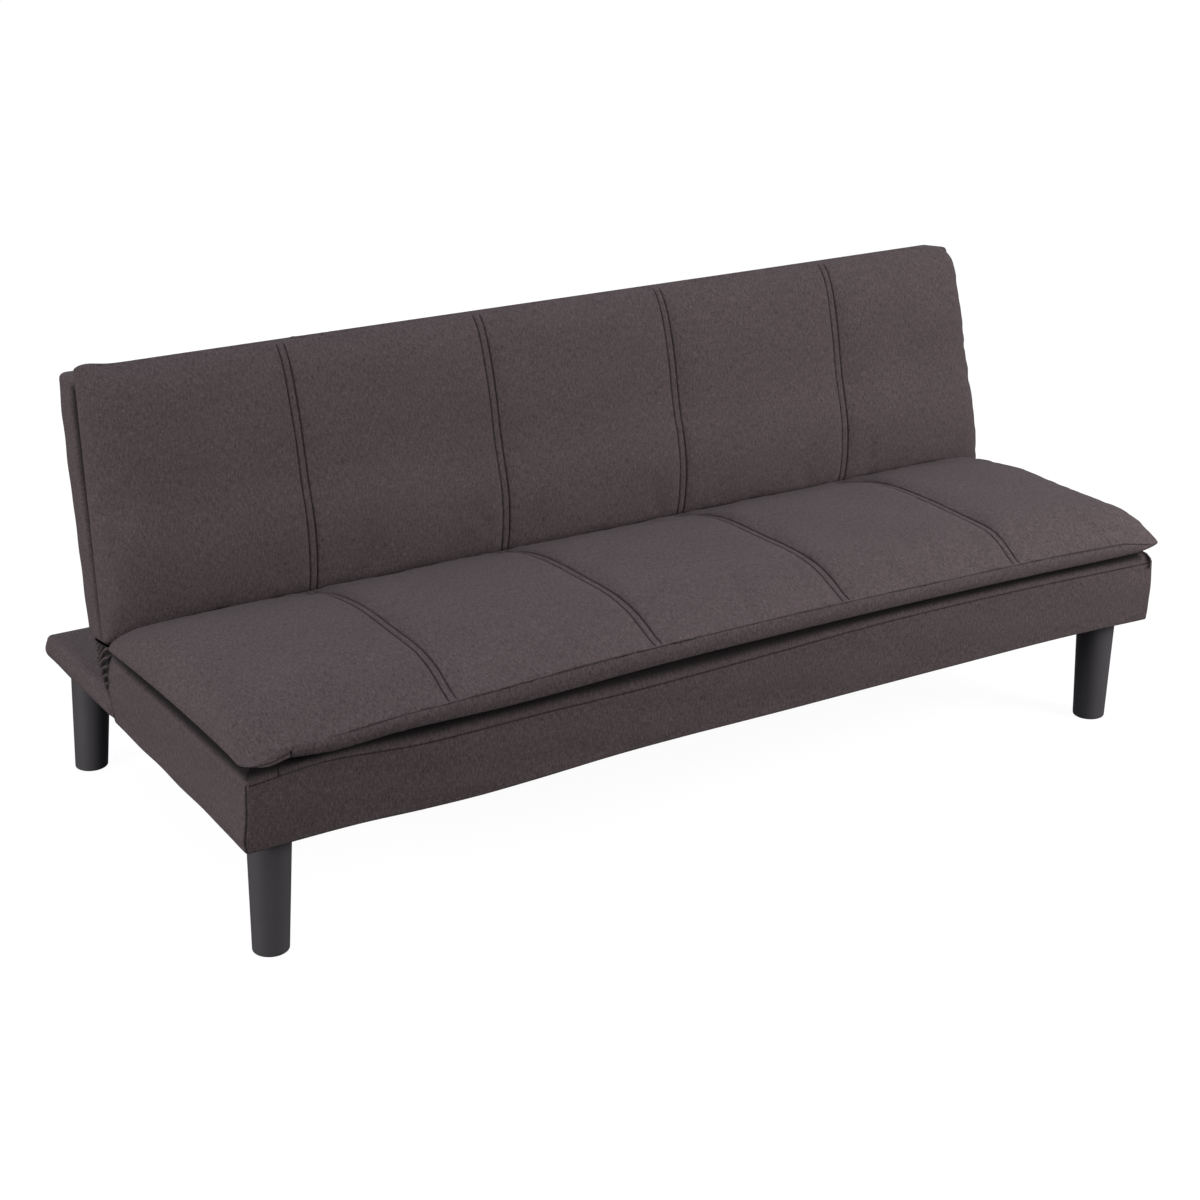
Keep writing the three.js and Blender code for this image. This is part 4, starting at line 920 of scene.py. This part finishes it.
def make_pad(name, pad, detail, to_room, body, node, pleats=(), edge_from=None):
    """One pad with its threads: the skin, then short stitches along each sewn line, and
    along the front edge from a place near its left end where the pad has that line."""
    x, v, points, normals, uv, painted_shade = dressed_pad(pad, name, detail, pleats)
    points, normals = to_room(points), to_room(normals) - to_room(np.zeros(3))
    piece = mesh_object(name, points, grid_quads(len(v), len(x)), uv, painted_shade)
    finish_piece(piece, body, sofa_cloth())
    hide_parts(node)
    top = np.flatnonzero((v > pad.parts[2] + 6 * MM) & (v < pad.parts[3] - 4 * MM))
    chosen = [(top, np.argmin(np.abs(x - seam - side * STITCH_SPACING / 2)))
              for seam in pad.seams for side in (-1, 1)]
    if edge_from is not None:
        chosen.append((np.argmin(np.abs(v - pad.parts[2])),
                       np.flatnonzero((x > edge_from) & (x < pad.half - 12 * MM))))
    stitches(name + "_stitches", [(points[at], normals[at]) for at in chosen], body)


class SOFABED_OT_seat_pad(bpy.types.Operator):
    """Sews and stuffs the seat pad"""
    bl_idname = "sofabed.seat_pad"
    bl_label = "Seat pad"

    def execute(self, context):
        make_pad("seat_pad", seat_pad_shape(), seat_detail, seat_to_room, "base", "seat_cushion",
                 pleats=[PLEAT], edge_from=-700 * MM)
        return {"FINISHED"}


class SOFABED_OT_back_pad(bpy.types.Operator):
    """Sews and stuffs the back pad"""
    bl_idname = "sofabed.back_pad"
    bl_label = "Back pad"

    def execute(self, context):
        make_pad("back_pad", back_pad_shape(), back_detail, back_to_room, "back", "back_cushion")
        return {"FINISHED"}


# Covers

def outline_columns(low, high, radius, step, arc_steps, marked):
    """Places round a rectangle with round corners, the long front side first, each as a
    side or corner number and a share along it."""
    long_side = HALF - radius
    wide = steps_between(0, 1, step / (2 * long_side))
    deep = steps_between(0, 1, step / (high - low - 2 * radius))
    marked = [(value + long_side) / (2 * long_side) for value in marked]
    wide = np.unique(np.round(np.concatenate([wide, marked, [1 - m for m in marked]]), 6))
    arc = np.linspace(0, 1, arc_steps)
    sides = (wide, deep, wide, deep)
    number = [np.r_[np.full(len(s) - 1, 2 * k), np.full(len(arc) - 1, 2 * k + 1)]
              for k, s in enumerate(sides)]
    place = [np.r_[s[:-1], arc[:-1]] for s in sides]
    return np.concatenate([*number, [0]]), np.concatenate([*place, [0.0]])


def outline_points(number, place, low, high, inset, radius):
    """The outline drawn in by an inset: straight sides between the corners' centres, and
    corners as quarter circles. Front side, right corner, right side, and so on round."""
    half_deep, middle = (high - low) / 2, (high + low) / 2
    round_ = np.minimum(np.maximum(radius - inset, 0.4 * MM), half_deep - inset)
    x1, y1 = HALF - inset - round_, np.maximum(half_deep - inset - round_, 0)
    turn = (place + (number - 1) / 2 - 1) * math.pi / 2
    arc_x, arc_y = round_ * np.cos(turn), round_ * np.sin(turn)
    run = 2 * place - 1
    sides = [number == k for k in range(8)]
    x = np.select(sides, [x1 * run, x1 + arc_x, x1 + round_, x1 + arc_x,
                          -x1 * run, -x1 + arc_x, -x1 - round_, -x1 + arc_x])
    y = np.select(sides, [-y1 - round_, -y1 + arc_y, y1 * run, y1 + arc_y,
                          y1 + round_, y1 + arc_y, -y1 * run, -y1 + arc_y])
    return x, middle + y


def cover_grid(profile, low, high, radius, step, marked, arc_steps=7, square=()):
    """A cover's grid: a profile of insets and levels carried round its outline. Corners
    named as square are filled almost out to the side; each comes with the way its place
    runs, 1 away from the side or -1 towards it. Gives each column's side and place, and
    each point's X, Y, inset and level."""
    number, place = outline_columns(low, high, radius, step, arc_steps, marked)
    inset, level = (np.repeat(profile[:, k, None], len(number), axis=1) for k in range(2))
    x, y = outline_points(number, place, low, high, inset, radius)
    for corner, way in square:
        from_side = place if way > 0 else 1 - place
        fill = (number == corner) * smoothstep(1, 0.75, from_side) * (inset < 9 * MM)
        x = x + np.sign(x) * (HALF - inset - 1.2 * MM - np.abs(x)) * fill
    return number, place, x, y, inset, level


def quad_middles(*fields):
    """The quads of a grid, and each field's value in their middles."""
    quads = grid_quads(*fields[0].shape)
    return quads, *(field.ravel()[quads].mean(1) for field in fields)


def sewn_cover(name, points, quads, painted_shade, row, body):
    """A cover with a wall, its cloth measured along one row and one column of points."""
    sizes, _ = settings()
    uv = np.stack(np.meshgrid(run_length(points[row]), run_length(points[:, 10])), axis=-1)
    piece = mesh_object(name, points, quads, uv, painted_shade)
    thicken(piece, sizes.cloth_thickness)
    finish_piece(piece, body, sofa_cloth())
    return piece


def hemmed_face(hem, heights):
    """Insets and levels in mm of a turned-in hem and an upright face."""
    return [(hem, 1.5), (hem * 0.6, 1.5), (9, 1.2), (4, 0.2), (2.2, 0.1), (0.9, 0.8), (0.2, 2.2),
            (0, 4), *((0, height) for height in heights)]


# How far the box cover's sewn line is above its hem
SEAM_LEVEL = 101.4 * MM


def box_profile():
    """Insets and levels of the box cover from its hem over its shoulder to the middle."""
    seam = [(0, 98.5), (0, 100), (0, 100.8), (0, 101.4), (0, 102), (0.05, 102.6), (0.2, 103.2),
            (0.5, 104), (1.0, 105.5)]
    shoulder = [(45 * (1 - math.cos(turn)), 102 + 29 * math.sin(turn))
                for turn in np.radians(np.linspace(12, 90, 14))]
    top = [(58, 131), (90, 130.8), (140, 130.8), (200, 130.8), (258.5, 130.8)]
    return np.array(hemmed_face(30, np.linspace(9, 96, 15)) + seam + shoulder + top) * MM


class SOFABED_OT_seat_box(bpy.types.Operator):
    """Sews the cover of the seat box"""
    bl_idname = "sofabed.seat_box"
    bl_label = "Seat box cover"

    def execute(self, context):
        sizes, _ = settings()
        profile = box_profile()
        marked = (*POCKET, PLEAT, PLEAT + 2 * MM, PLEAT - 2 * MM, BOX_OPENING, -BOX_OPENING)
        number, place, x, y, inset, level = cover_grid(
            profile, BOX_FRONT, BOX_REAR + 0.4 * MM, 6 * MM, 9 * MM, marked, arc_steps=13,
            square=((3, 1), (5, -1)))
        from_front, from_rear, from_side = y - BOX_FRONT, BOX_REAR - y, HALF - np.abs(x)

        # The hem and the sewn line wave along the front, and the top rises with the seat
        up = np.clip(level / SEAM_LEVEL, 0, 1)
        over = np.clip((level - SEAM_LEVEL) / (29.6 * MM), 0, 1)
        wave = 1.1 * ripple(x + y, [0.23, 0.31, 0.14], 3) - 1.1
        wave = (wave + 3 * ramp(140, 0, from_rear)) * MM
        front = ramp(50, 0, from_front)
        hem = wave + (through(HEM, x) - UNDERSIDE - wave) * front
        seam = (through(STRIP_SEAM, x) - UNDERSIDE - SEAM_LEVEL) * front
        z = UNDERSIDE + level + hem * (1 - up) ** 1.5 + seam * up * (1 - over)
        z += seat_bow(x, y, sizes.bow) * over
        turned_in = (inset > 3 * MM) & (level < 5 * MM)
        z = np.where(turned_in, np.maximum(z, UNDERSIDE + 0.6 * MM), z)
        points = np.stack([x, y, z], axis=-1)
        normals = outward_normals(points)

        # Sewn lines and the pleat sink in, and the face swells and waves
        on_front = (number == 0) & (from_side > 4 * MM)
        line = bump(level - SEAM_LEVEL, 1.1 * MM) * on_front
        corner = (number % 2 == 1) * bump(place - 0.5, 0.13) * (y < 0)
        corner = corner * (level < SEAM_LEVEL + 1 * MM) * (level > 2 * MM)
        pleat = bump(x - PLEAT, 1.5 * MM) * on_front * (level > SEAM_LEVEL) * (level < 126 * MM)
        wide = dapple(x + 0.3 * y, level * 2.2 + y * 0.4, [0.14, 0.2, 0.29, 0.4], 15)
        face = ramp(2, 20, level) * ramp(131, 120, level)
        swell = np.sin(np.pi * np.clip(level / (102 * MM), 0, 1))
        near_rear = bump(from_rear - 30 * MM, 60 * MM) * (from_side < 40 * MM)
        pulls = near_rear * ripple(level + 0.35 * y, mm(19, 31, 43), 44)
        offset = face * (0.9 * wide + 1.6 * swell + 0.9 * pulls) - line - corner - 0.8 * pleat
        points = points + normals * (offset * MM)[..., None]

        # The ends stand out: the right one most at its front, the left one at foot and rear
        right = (7 + 3 * up) * ramp(20, 150, from_rear)
        left = (1 + 5 * bump(level - 16 * MM, 28 * MM) * ramp(160, 0, from_front)
                + 4 * bump(level - 55 * MM, 30 * MM) * ramp(120, 0, from_rear))
        end = ramp(20, 0, from_side) * ramp(131, 100, level) * MM
        points[..., 0] += np.where(x > 0, right, -left) * end

        # Painted shade: in the front sewn line, the corner seams and the pleat, on the strip under
        # the seat pad except at its right front corner, and along the rear edge where the box
        # meets the ledge
        bare_end = ramp(25, 8, from_side) * (x > 0) * (from_front < 10 * MM)
        painted_shade_under_pad = ramp(106, 117, level) * (1 - bare_end)
        painted_shade = np.maximum.reduce([line, corner, pleat, painted_shade_under_pad, ramp(8, 2, from_rear)])

        # Slots for the hinges, and the open rear below the sewn line where the ledge joins
        quads, mid_x, mid_y, mid_inset, mid_level = quad_middles(np.abs(x), y, inset, level)
        slot = (mid_x > POCKET[0]) & (mid_x < POCKET[1]) & (mid_y > BOX_REAR - 44 * MM)
        slot &= (mid_level > 78 * MM) & (mid_inset < 44 * MM)
        passage = (mid_x < BOX_OPENING) & (mid_y > BOX_REAR - 31 * MM)
        passage &= mid_level < 38.4 * MM
        piece = sewn_cover("seat_box_sewn_cover", points, quads[~(slot | passage)], painted_shade, 20,
                           "base")
        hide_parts("seat_box_cover")

        row = np.argmin(np.abs(profile[:, 1] - SEAM_LEVEL))
        rows = np.flatnonzero((profile[:, 1] > 4 * MM) & (profile[:, 1] < 99 * MM))
        chosen = [(row, np.flatnonzero((number == 0) & (from_side[row] > 12 * MM)))]
        chosen += [(rows, np.flatnonzero((number == kind) & (np.abs(place - 0.5) < 0.04))[0])
                   for kind in (1, 7)]
        stitches("seat_box_stitches", [(points[at], normals[at]) for at in chosen], "base")
        return {"FINISHED"}


def edge_profile(height, radius, hem, half_depth):
    """A hem, an upright face, a round edge and a flat top drawn in to its middle."""
    rows = hemmed_face(hem, np.linspace(8, height - radius, 7))
    rows += [(radius * (1 - math.cos(turn)), height - radius * (1 - math.sin(turn)))
             for turn in np.radians(np.linspace(9, 90, 10))]
    rows += [(inset, height) for inset in np.linspace(radius, half_depth, int(half_depth / 9))[1:]]
    return np.array(rows) * MM


class SOFABED_OT_ledge(bpy.types.Operator):
    """Sews the cover of the ledge behind the seat"""
    bl_idname = "sofabed.ledge"
    bl_label = "Ledge cover"

    def execute(self, context):
        depth = (LEDGE_REAR - LEDGE_FRONT) / MM
        _, _, x, y, inset, level = cover_grid(
            edge_profile(40, 12, 30, depth / 2), LEDGE_FRONT, LEDGE_REAR, 9 * MM, 11 * MM,
            (LEDGE_OPENING,), square=((1, -1), (7, 1)))
        from_front = y - LEDGE_FRONT
        hem = ramp(20, 0, level) * (0.7 * ripple(x + y, [0.19, 0.27, 0.12], 23) + 2.5) * MM
        z = np.maximum(UNDERSIDE + level + hem, UNDERSIDE - 1.5 * MM)
        flat = ramp(13, 60, inset) * (level > 30 * MM)
        z += flat * (0.5 * dapple(x, y, [0.16, 0.23, 0.33], 25) - 0.2) * MM
        puff = np.sin(np.pi * np.clip(level / (30 * MM), 0, 1)) * (inset < 1 * MM)
        side = np.sign(x) * 3.8 * MM * puff * (np.abs(x) > HALF - 1 * MM)
        points = np.stack([x + side, y, z], axis=-1)
        quads, mid_x, mid_y, mid_level = quad_middles(np.abs(x), from_front, level)
        passage = (mid_x < LEDGE_OPENING) & (mid_y < 31 * MM) & (mid_level < 34 * MM)
        # Painted shade on the ledge's front face, where it meets the box
        painted_shade_beside_box = ramp(8, 1, from_front) * (level < 39 * MM)
        piece = sewn_cover("ledge_sewn_cover", points, quads[~passage], painted_shade_beside_box, 12, "base")
        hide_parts("ledge_cover")
        return {"FINISHED"}


class SOFABED_OT_board(bpy.types.Operator):
    """Sews the cover of the back board"""
    bl_idname = "sofabed.board"
    bl_label = "Back board cover"

    def execute(self, context):
        thick, tall = (BOARD_REAR - BOARD_FRONT) / MM, (BOARD_TOP - BOARD_FOOT) / MM
        _, _, x, up, inset, level = cover_grid(
            edge_profile(thick, 9, 25, tall / 2), BOARD_FOOT, BOARD_TOP, 10 * MM, 10 * MM, POCKET)
        from_foot, from_top, from_side = up - BOARD_FOOT, BOARD_TOP - up, HALF - np.abs(x)
        crown = ramp(13, 90, inset) * (level > (thick - 1) * MM)
        crown = crown * (1 + 0.7 * dapple(x, up, [0.15, 0.22, 0.31], 35)) * MM
        deep = np.minimum(BOARD_FRONT + level + crown, BOARD_REAR + 1.6 * MM)
        low = ramp(0, 20, from_foot) * smoothstep(BOARD_TOP, 360 * MM, up)
        bulge = 0.6 + 1.6 * (x < 0) + 3.4 * low + 0.5 * ripple(up, [0.11, 0.17, 0.07], 37)
        side = bulge * ramp(25, 0, from_side) * ramp(0, 14, level) * ramp(20, 0, inset) * MM
        points = board_to_room(np.stack([x + np.sign(x) * side, deep, up], axis=-1))
        quads, mid_x, mid_up, mid_level = quad_middles(np.abs(x), from_foot, level)
        slot = (mid_x > POCKET[0]) & (mid_x < POCKET[1])
        slot &= (mid_up < 26 * MM) & (mid_level < 34 * MM)
        # Painted shade on the board's front face near its sides, beside the back pad, fading out
        # near the top
        painted_shade_beside_pad = 0.85 * ramp(12, 4, level) * ramp(20, 4, from_side) * ramp(6, 22, from_top)
        piece = sewn_cover("back_board_sewn_cover", points, quads[~slot], painted_shade_beside_pad, 12, "back")
        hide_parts("back_board_cover")
        return {"FINISHED"}


def gathered_plan(side_x, front, deep, radius, tucked):
    """The gathered cloth's line seen from above, at even steps: it starts tucked in behind
    the box's left corner, runs back, turns a round corner, crosses behind the board and
    mirrors itself on the right. Gives the points and the distance along them."""
    turn = np.linspace(0, math.pi / 2, 16)
    start, bend = turn[:-1], turn[1:]
    straight = np.linspace(front + tucked, front + deep - radius, 30)
    left = np.concatenate([
        np.stack([-side_x + tucked - tucked * np.sin(start),
                  front + tucked - tucked * np.cos(start)], axis=-1),
        np.stack([np.full(30, -side_x), straight], axis=-1),
        np.stack([-side_x + radius - radius * np.cos(bend),
                  front + deep - radius + radius * np.sin(bend)], axis=-1),
        [[0.0, front + deep]]])
    plan = np.concatenate([left, left[::-1][1:] * [-1, 1]])
    along = run_length(plan)
    even = np.linspace(0, along[-1], int(along[-1] / (1.6 * MM)))
    return np.stack([np.interp(even, along, plan[:, k]) for k in range(2)], axis=-1), even


class SOFABED_OT_gathered_cloth(bpy.types.Operator):
    """Gathers the cloth that closes the gap behind the hinges"""
    bl_idname = "sofabed.gathered_cloth"
    bl_label = "Gathered cloth"

    def execute(self, context):
        sizes, _ = settings()
        foot, front = LEDGE_TOP + 0.4 * MM, BOX_REAR + 1.2 * MM
        side_x, deep = HALF + 1 * MM, 54 * MM
        plan, even = gathered_plan(side_x, front, deep, 14 * MM, 9 * MM)
        tangent = unit(np.gradient(plan, axis=0))
        out = np.stack([-tangent[:, 1], tangent[:, 0]], axis=-1)
        rows = np.linspace(0, 1, 46)
        up, run = np.meshgrid(rows, even, indexing="ij")
        at_side = smoothstep(side_x - 12 * MM, side_x - 2 * MM, np.abs(plan[:, 0]))

        # Folds are sharp sines: upright behind the board, and slanted at the two sides
        drift = 4 * MM * ripple(run, [0.13, 0.071, 0.22], 63)
        drift = drift + 5 * MM * up * ripple(run, [0.09, 0.15], 64)
        upright = TAU * (run + drift) / (13.5 * MM)
        to_end = np.minimum(run, even[-1] - run)
        spread = 0.12 + 1.2 * up ** 0.8
        wave = 2.5 * MM * ripple(run, [0.031, 0.047], 65)
        slanted = TAU * (64 * MM * up + 0.6 * to_end * spread + wave) / (11.5 * MM)
        behind, beside = (1 - 2 * np.abs(np.sin(turn / 2)) ** 0.9 for turn in (upright, slanted))
        folds = behind * (1 - at_side) + beside * at_side
        size = sizes.fold_height * (0.30 + 0.70 * np.sin(np.pi * up) ** 0.5)
        size = size * (0.8 + 0.25 * ripple(run, [0.05, 0.083], 66))
        sag = (5 * MM * at_side - 5 * MM * (1 - at_side)) * np.sin(np.pi * up) ** 1.2
        fold = (size * folds * (0.75 + 0.35 * at_side) + sag) * ramp(0, 7, to_end)
        x, y = (plan[:, k] + out[:, k] * fold for k in range(2))
        y = front + (np.maximum(y, front) - front) * spread
        head = HINGE[2] + BOARD_FOOT / math.cos(LEAN) - (y - HINGE[1]) * math.tan(LEAN) - 0.6 * MM
        points = np.stack([x, y, foot + (head - foot) * up], axis=-1)

        width, height = (
            float(np.median(np.linalg.norm(np.diff(points, axis=axis), axis=2).sum(axis)))
            for axis in (1, 0))
        uv = np.stack(np.meshgrid(even * width / even[-1], rows * height), axis=-1)
        # The valleys between the folds are darkened with painted shade
        piece = mesh_object("gathered_rear_cloth", points, grid_quads(*up.shape), uv,
                            smoothstep(0.45, -0.5, folds), flip=True)
        piece.data.materials.append(sofa_cloth())
        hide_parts("rear_gusset")
        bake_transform(piece)
        return {"FINISHED"}


class SOFABED_OT_dust_cover(bpy.types.Operator):
    """Stretches the thin cloth under the seat"""
    bl_idname = "sofabed.dust_cover"
    bl_label = "Dust cover"

    def execute(self, context):
        x = steps_between(dust_low.x, dust_high.x, 16 * MM)
        y = steps_between(dust_low.y, dust_high.y, 16 * MM)
        grid_x, grid_y = np.meshgrid(x, y)
        inward = np.minimum.reduce([grid_x - x[0], x[-1] - grid_x, grid_y - y[0], y[-1] - grid_y])
        sag = 1.6 + 0.9 * dapple(grid_x, grid_y, [0.21, 0.33, 0.47], 71)
        z = dust_high.z - 0.1 * MM - ramp(60, 200, inward) * sag * MM
        piece = mesh_object("stretched_dust_cover", np.stack([grid_x, grid_y, z], axis=-1),
                            grid_quads(*grid_x.shape), np.stack([grid_x, grid_y], axis=-1),
                            flip=False)
        thicken(piece, 0.8 * MM)
        finish_piece(piece, "base",
                     once("nonwoven_cloth", lambda: nonwoven((0.013, 0.012, 0.013))))
        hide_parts("underside_dust_cover")
        return {"FINISHED"}


# How far a leg's foot stands out to the left of its screw, and its top to the right
LEG_LEAN = {"front_leg_left": mm(1, 6.5), "rear_leg_left": mm(4.5, 9)}


class SOFABED_OT_legs(bpy.types.Operator):
    """Turns the four tapered legs"""
    bl_idname = "sofabed.legs"
    bl_label = "Legs"

    def execute(self, context):
        _, finishes = settings()
        material = once("moulded_plastic", lambda: moulded_plastic(tuple(finishes.legs)))
        angle = np.linspace(0, TAU, 97)
        for name in ("front_leg_left", "front_leg_right", "rear_leg_left", "rear_leg_right"):
            low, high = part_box(name)
            centre, top = (low + high) / 2, high.z / MM
            wide, narrow, bore, bore_foot = (high.x - low.x) / 2 / MM, 27.2, 4.3, top - 42.3
            foot = [(0, 0), (narrow - 6, 0), (narrow - 4, 0)]
            foot += [(narrow - 3 + 3 * math.sin(turn), 3 - 3 * math.cos(turn))
                     for turn in np.radians(np.linspace(10, 90, 9))]
            wall = [(narrow + (wide - narrow) * t, 3 + (top - 5) * t)
                    for t in np.linspace(0.05, 1, 20)]
            rim = [(wide - 0.3, top - 1.2), (wide - 1.2, top - 0.3), (wide - 2.2, top),
                   (bore, top), (bore, bore_foot), (0, bore_foot)]
            radius, height = (np.array(foot + wall + rim) * MM).T[..., None]
            foot_out, top_in = LEG_LEAN.get(name, (0.0, 0.0))
            lean = -foot_out + (foot_out + top_in) * height / high.z
            points = np.stack([centre.x + lean + radius * np.cos(angle),
                               centre.y + radius * np.sin(angle),
                               height + 0 * angle], axis=-1)
            piece = mesh_object(name + "_turned", points, grid_quads(len(radius), len(angle)))
            piece.modifiers.new("Edges", "EDGE_SPLIT").split_angle = math.radians(50)
            finish_piece(piece, "base", material)
            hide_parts(name)
        return {"FINISHED"}


# The finish of a frame node, by the first of these words in its name
FINISH_WORDS = {"webbing": "webbing", "foam": "foam", "wadding": "foam",
                "pawl_left": "spring", "pawl_right": "spring", "spring": "spring",
                "hinge": "zinc", "bolt": "zinc", "side_board": "plywood", "panel": "plywood",
                "bearer": "pine_deep", "upright": "pine_up", "side_rail": "pine_up",
                "corner_block": "pine_up", "": "pine_along"}


class SOFABED_OT_frame_finishes(bpy.types.Operator):
    """Gives the frame, hinges, webbing and stuffing their own finishes"""
    bl_idname = "sofabed.frame_finishes"
    bl_label = "Frame finishes"

    def execute(self, context):
        pine = ((0.62, 0.44, 0.24), (0.44, 0.27, 0.12))
        board = ((0.50, 0.35, 0.20), (0.33, 0.21, 0.10))
        finishes = {
            "pine_along": timber("pine_along", *pine, 0),
            "pine_deep": timber("pine_deep", *pine, 1),
            "pine_up": timber("pine_up", *pine, 2),
            "plywood": timber("plywood", *board, 1, ply=3 * MM),
            "zinc": plated_steel("zinc_plate", (0.62, 0.63, 0.64), 0.38, (90, 900, 900)),
            "spring": plated_steel("spring_steel", (0.20, 0.21, 0.23), 0.33, (90, 1200, 1200)),
            "foam": stuffing(),
            "webbing": strap_webbing(),
        }
        for node, piece in frame["nodes"].items():
            if not piece.hide_render:
                word = next(word for word in FINISH_WORDS if word in node)
                for place in piece.material_slots:
                    place.material = finishes[FINISH_WORDS[word]]
        return {"FINISHED"}


# Each lamp's place, size, power and colour
LAMPS = {"right": ((2.2, -2.5, 1.6), 1.4, 91.0, (1.0, 0.975, 0.955)),
         "left": ((-3.6, -0.3, 1.0), 1.4, 63.0, (1.0, 0.98, 0.97)),
         "rear": ((0.8, 3.8, 0.5), 1.4, 40.0, (1.0, 0.98, 0.97))}

# The photograph's camera: place, then yaw, pitch and roll in degrees, and lens in mm
CAMERA_PLACE, CAMERA_TURN, LENS = (-1.9109, -3.0721, 1.6711), (31.637, 21.269, -0.05), 69.37


class SOFABED_OT_stage(bpy.types.Operator):
    """Sets up the pale floor, soft lights and camera"""
    bl_idname = "sofabed.stage"
    bl_label = "Studio"

    def execute(self, context):
        self.lay_floor()
        self.light(context)
        self.place_camera(context)
        context.scene.view_settings.view_transform = "Standard"
        return {"FINISHED"}

    def lay_floor(self):
        """A round floor that turns up into a wall: a line, a quarter circle and a line,
        carried round."""
        arc = np.radians(np.linspace(0, 90, 13))
        radius = np.concatenate([np.arange(14), 14 + 10 * np.sin(arc), [24]])[:, None]
        height = np.concatenate([np.zeros(14), 10 - 10 * np.cos(arc), [20]])[:, None]
        turn = np.linspace(0, TAU, 97)
        points = np.stack([radius * np.cos(turn), radius * np.sin(turn), height + 0 * turn],
                          axis=-1)
        floor = mesh_object("studio_floor", points, grid_quads(len(radius), len(turn)), flip=True)
        g = Finish("studio_floor")
        paper = g.mix(g.noise(g.places(), 0.7, 2.0), (0.10, 0.10, 0.10), (0.11, 0.11, 0.11))
        floor.data.materials.append(g.done(
            Base_Color=paper, Roughness=0.9, Specular_IOR_Level=0.0,
            Emission_Color=(1.0, 1.0, 1.0, 1), Emission_Strength=0.95))
        floor.visible_diffuse = floor.visible_glossy = floor.visible_shadow = False

    def light(self, context):
        """A dome that is brighter overhead, and soft lamps aimed at the sofa."""
        world = bpy.data.worlds.new("studio")
        world.use_nodes = True
        sky = Nodes(world.node_tree)
        direction = sky.node("ShaderNodeTexCoord", {}, {}, "Generated")
        dome = sky.node("ShaderNodeMapRange", {}, {0: sky.axis(direction, 2), 1: 0.15, 2: 0.75,
                                                   3: 0.045, 4: 0.80})
        background = world.node_tree.nodes["Background"]
        sky.put(background.inputs["Strength"], dome)
        sky.put(background.inputs["Color"], (0.95, 0.97, 1.06, 1))
        context.scene.world = world
        for name, (place, size, power, tone) in LAMPS.items():
            lamp = bpy.data.lights.new(name, "AREA")
            lamp.size, lamp.energy, lamp.color = size, power, tone
            piece = bpy.data.objects.new(name, lamp)
            piece.location = place
            aim = Vector((0, 0, 0.35)) - Vector(place)
            piece.rotation_euler = aim.to_track_quat("-Z", "Y").to_euler()
            context.scene.collection.objects.link(piece)

    def place_camera(self, context):
        camera = bpy.data.cameras.new("camera")
        camera.sensor_fit, camera.sensor_width, camera.lens = "HORIZONTAL", 36.0, LENS
        camera.clip_end = 60
        yaw, pitch, roll = (math.radians(angle) for angle in CAMERA_TURN)
        look = Vector((math.sin(yaw) * math.cos(pitch), math.cos(yaw) * math.cos(pitch),
                       -math.sin(pitch)))
        right = look.cross(Vector((0, 0, 1))).normalized()
        turn = Matrix((right, right.cross(look), -look)).transposed()
        turn = turn @ Matrix.Rotation(roll, 3, "Z")
        piece = bpy.data.objects.new("camera", camera)
        piece.matrix_world = Matrix.Translation(CAMERA_PLACE) @ turn.to_4x4()
        context.scene.collection.objects.link(piece)
        context.scene.camera = piece


OPERATORS = (SOFABED_OT_seat_pad, SOFABED_OT_back_pad, SOFABED_OT_seat_box, SOFABED_OT_ledge,
             SOFABED_OT_board, SOFABED_OT_gathered_cloth, SOFABED_OT_dust_cover, SOFABED_OT_legs,
             SOFABED_OT_frame_finishes, SOFABED_OT_stage)


class SOFABED_PT_tools(bpy.types.Panel):
    """Lists the steps that dress the sofa bed"""
    bl_idname = "SOFABED_PT_tools"
    bl_label = "Sofa bed"
    bl_space_type = "VIEW_3D"
    bl_region_type = "UI"
    bl_category = "Sofa bed"

    def draw(self, context):
        for group in (context.scene.sofa_sizes, context.scene.sofa_finishes):
            for name in group.bl_rna.properties.keys():
                if name not in ("rna_type", "name"):
                    self.layout.prop(group, name)
        for operator in OPERATORS:
            self.layout.operator(operator.bl_idname)


CLASSES = (SofaSizes, SofaFinishes, *OPERATORS, SOFABED_PT_tools)


def register():
    for made in CLASSES:
        bpy.utils.register_class(made)
    bpy.types.Scene.sofa_sizes = bpy.props.PointerProperty(type=SofaSizes)
    bpy.types.Scene.sofa_finishes = bpy.props.PointerProperty(type=SofaFinishes)


def unregister():
    del bpy.types.Scene.sofa_finishes
    del bpy.types.Scene.sofa_sizes
    for made in reversed(CLASSES):
        bpy.utils.unregister_class(made)


def main():
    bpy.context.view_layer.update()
    register()
    for operator in OPERATORS:
        group, name = operator.bl_idname.split(".")
        getattr(getattr(bpy.ops, group), name)()


if __name__ == "__main__":
    main()
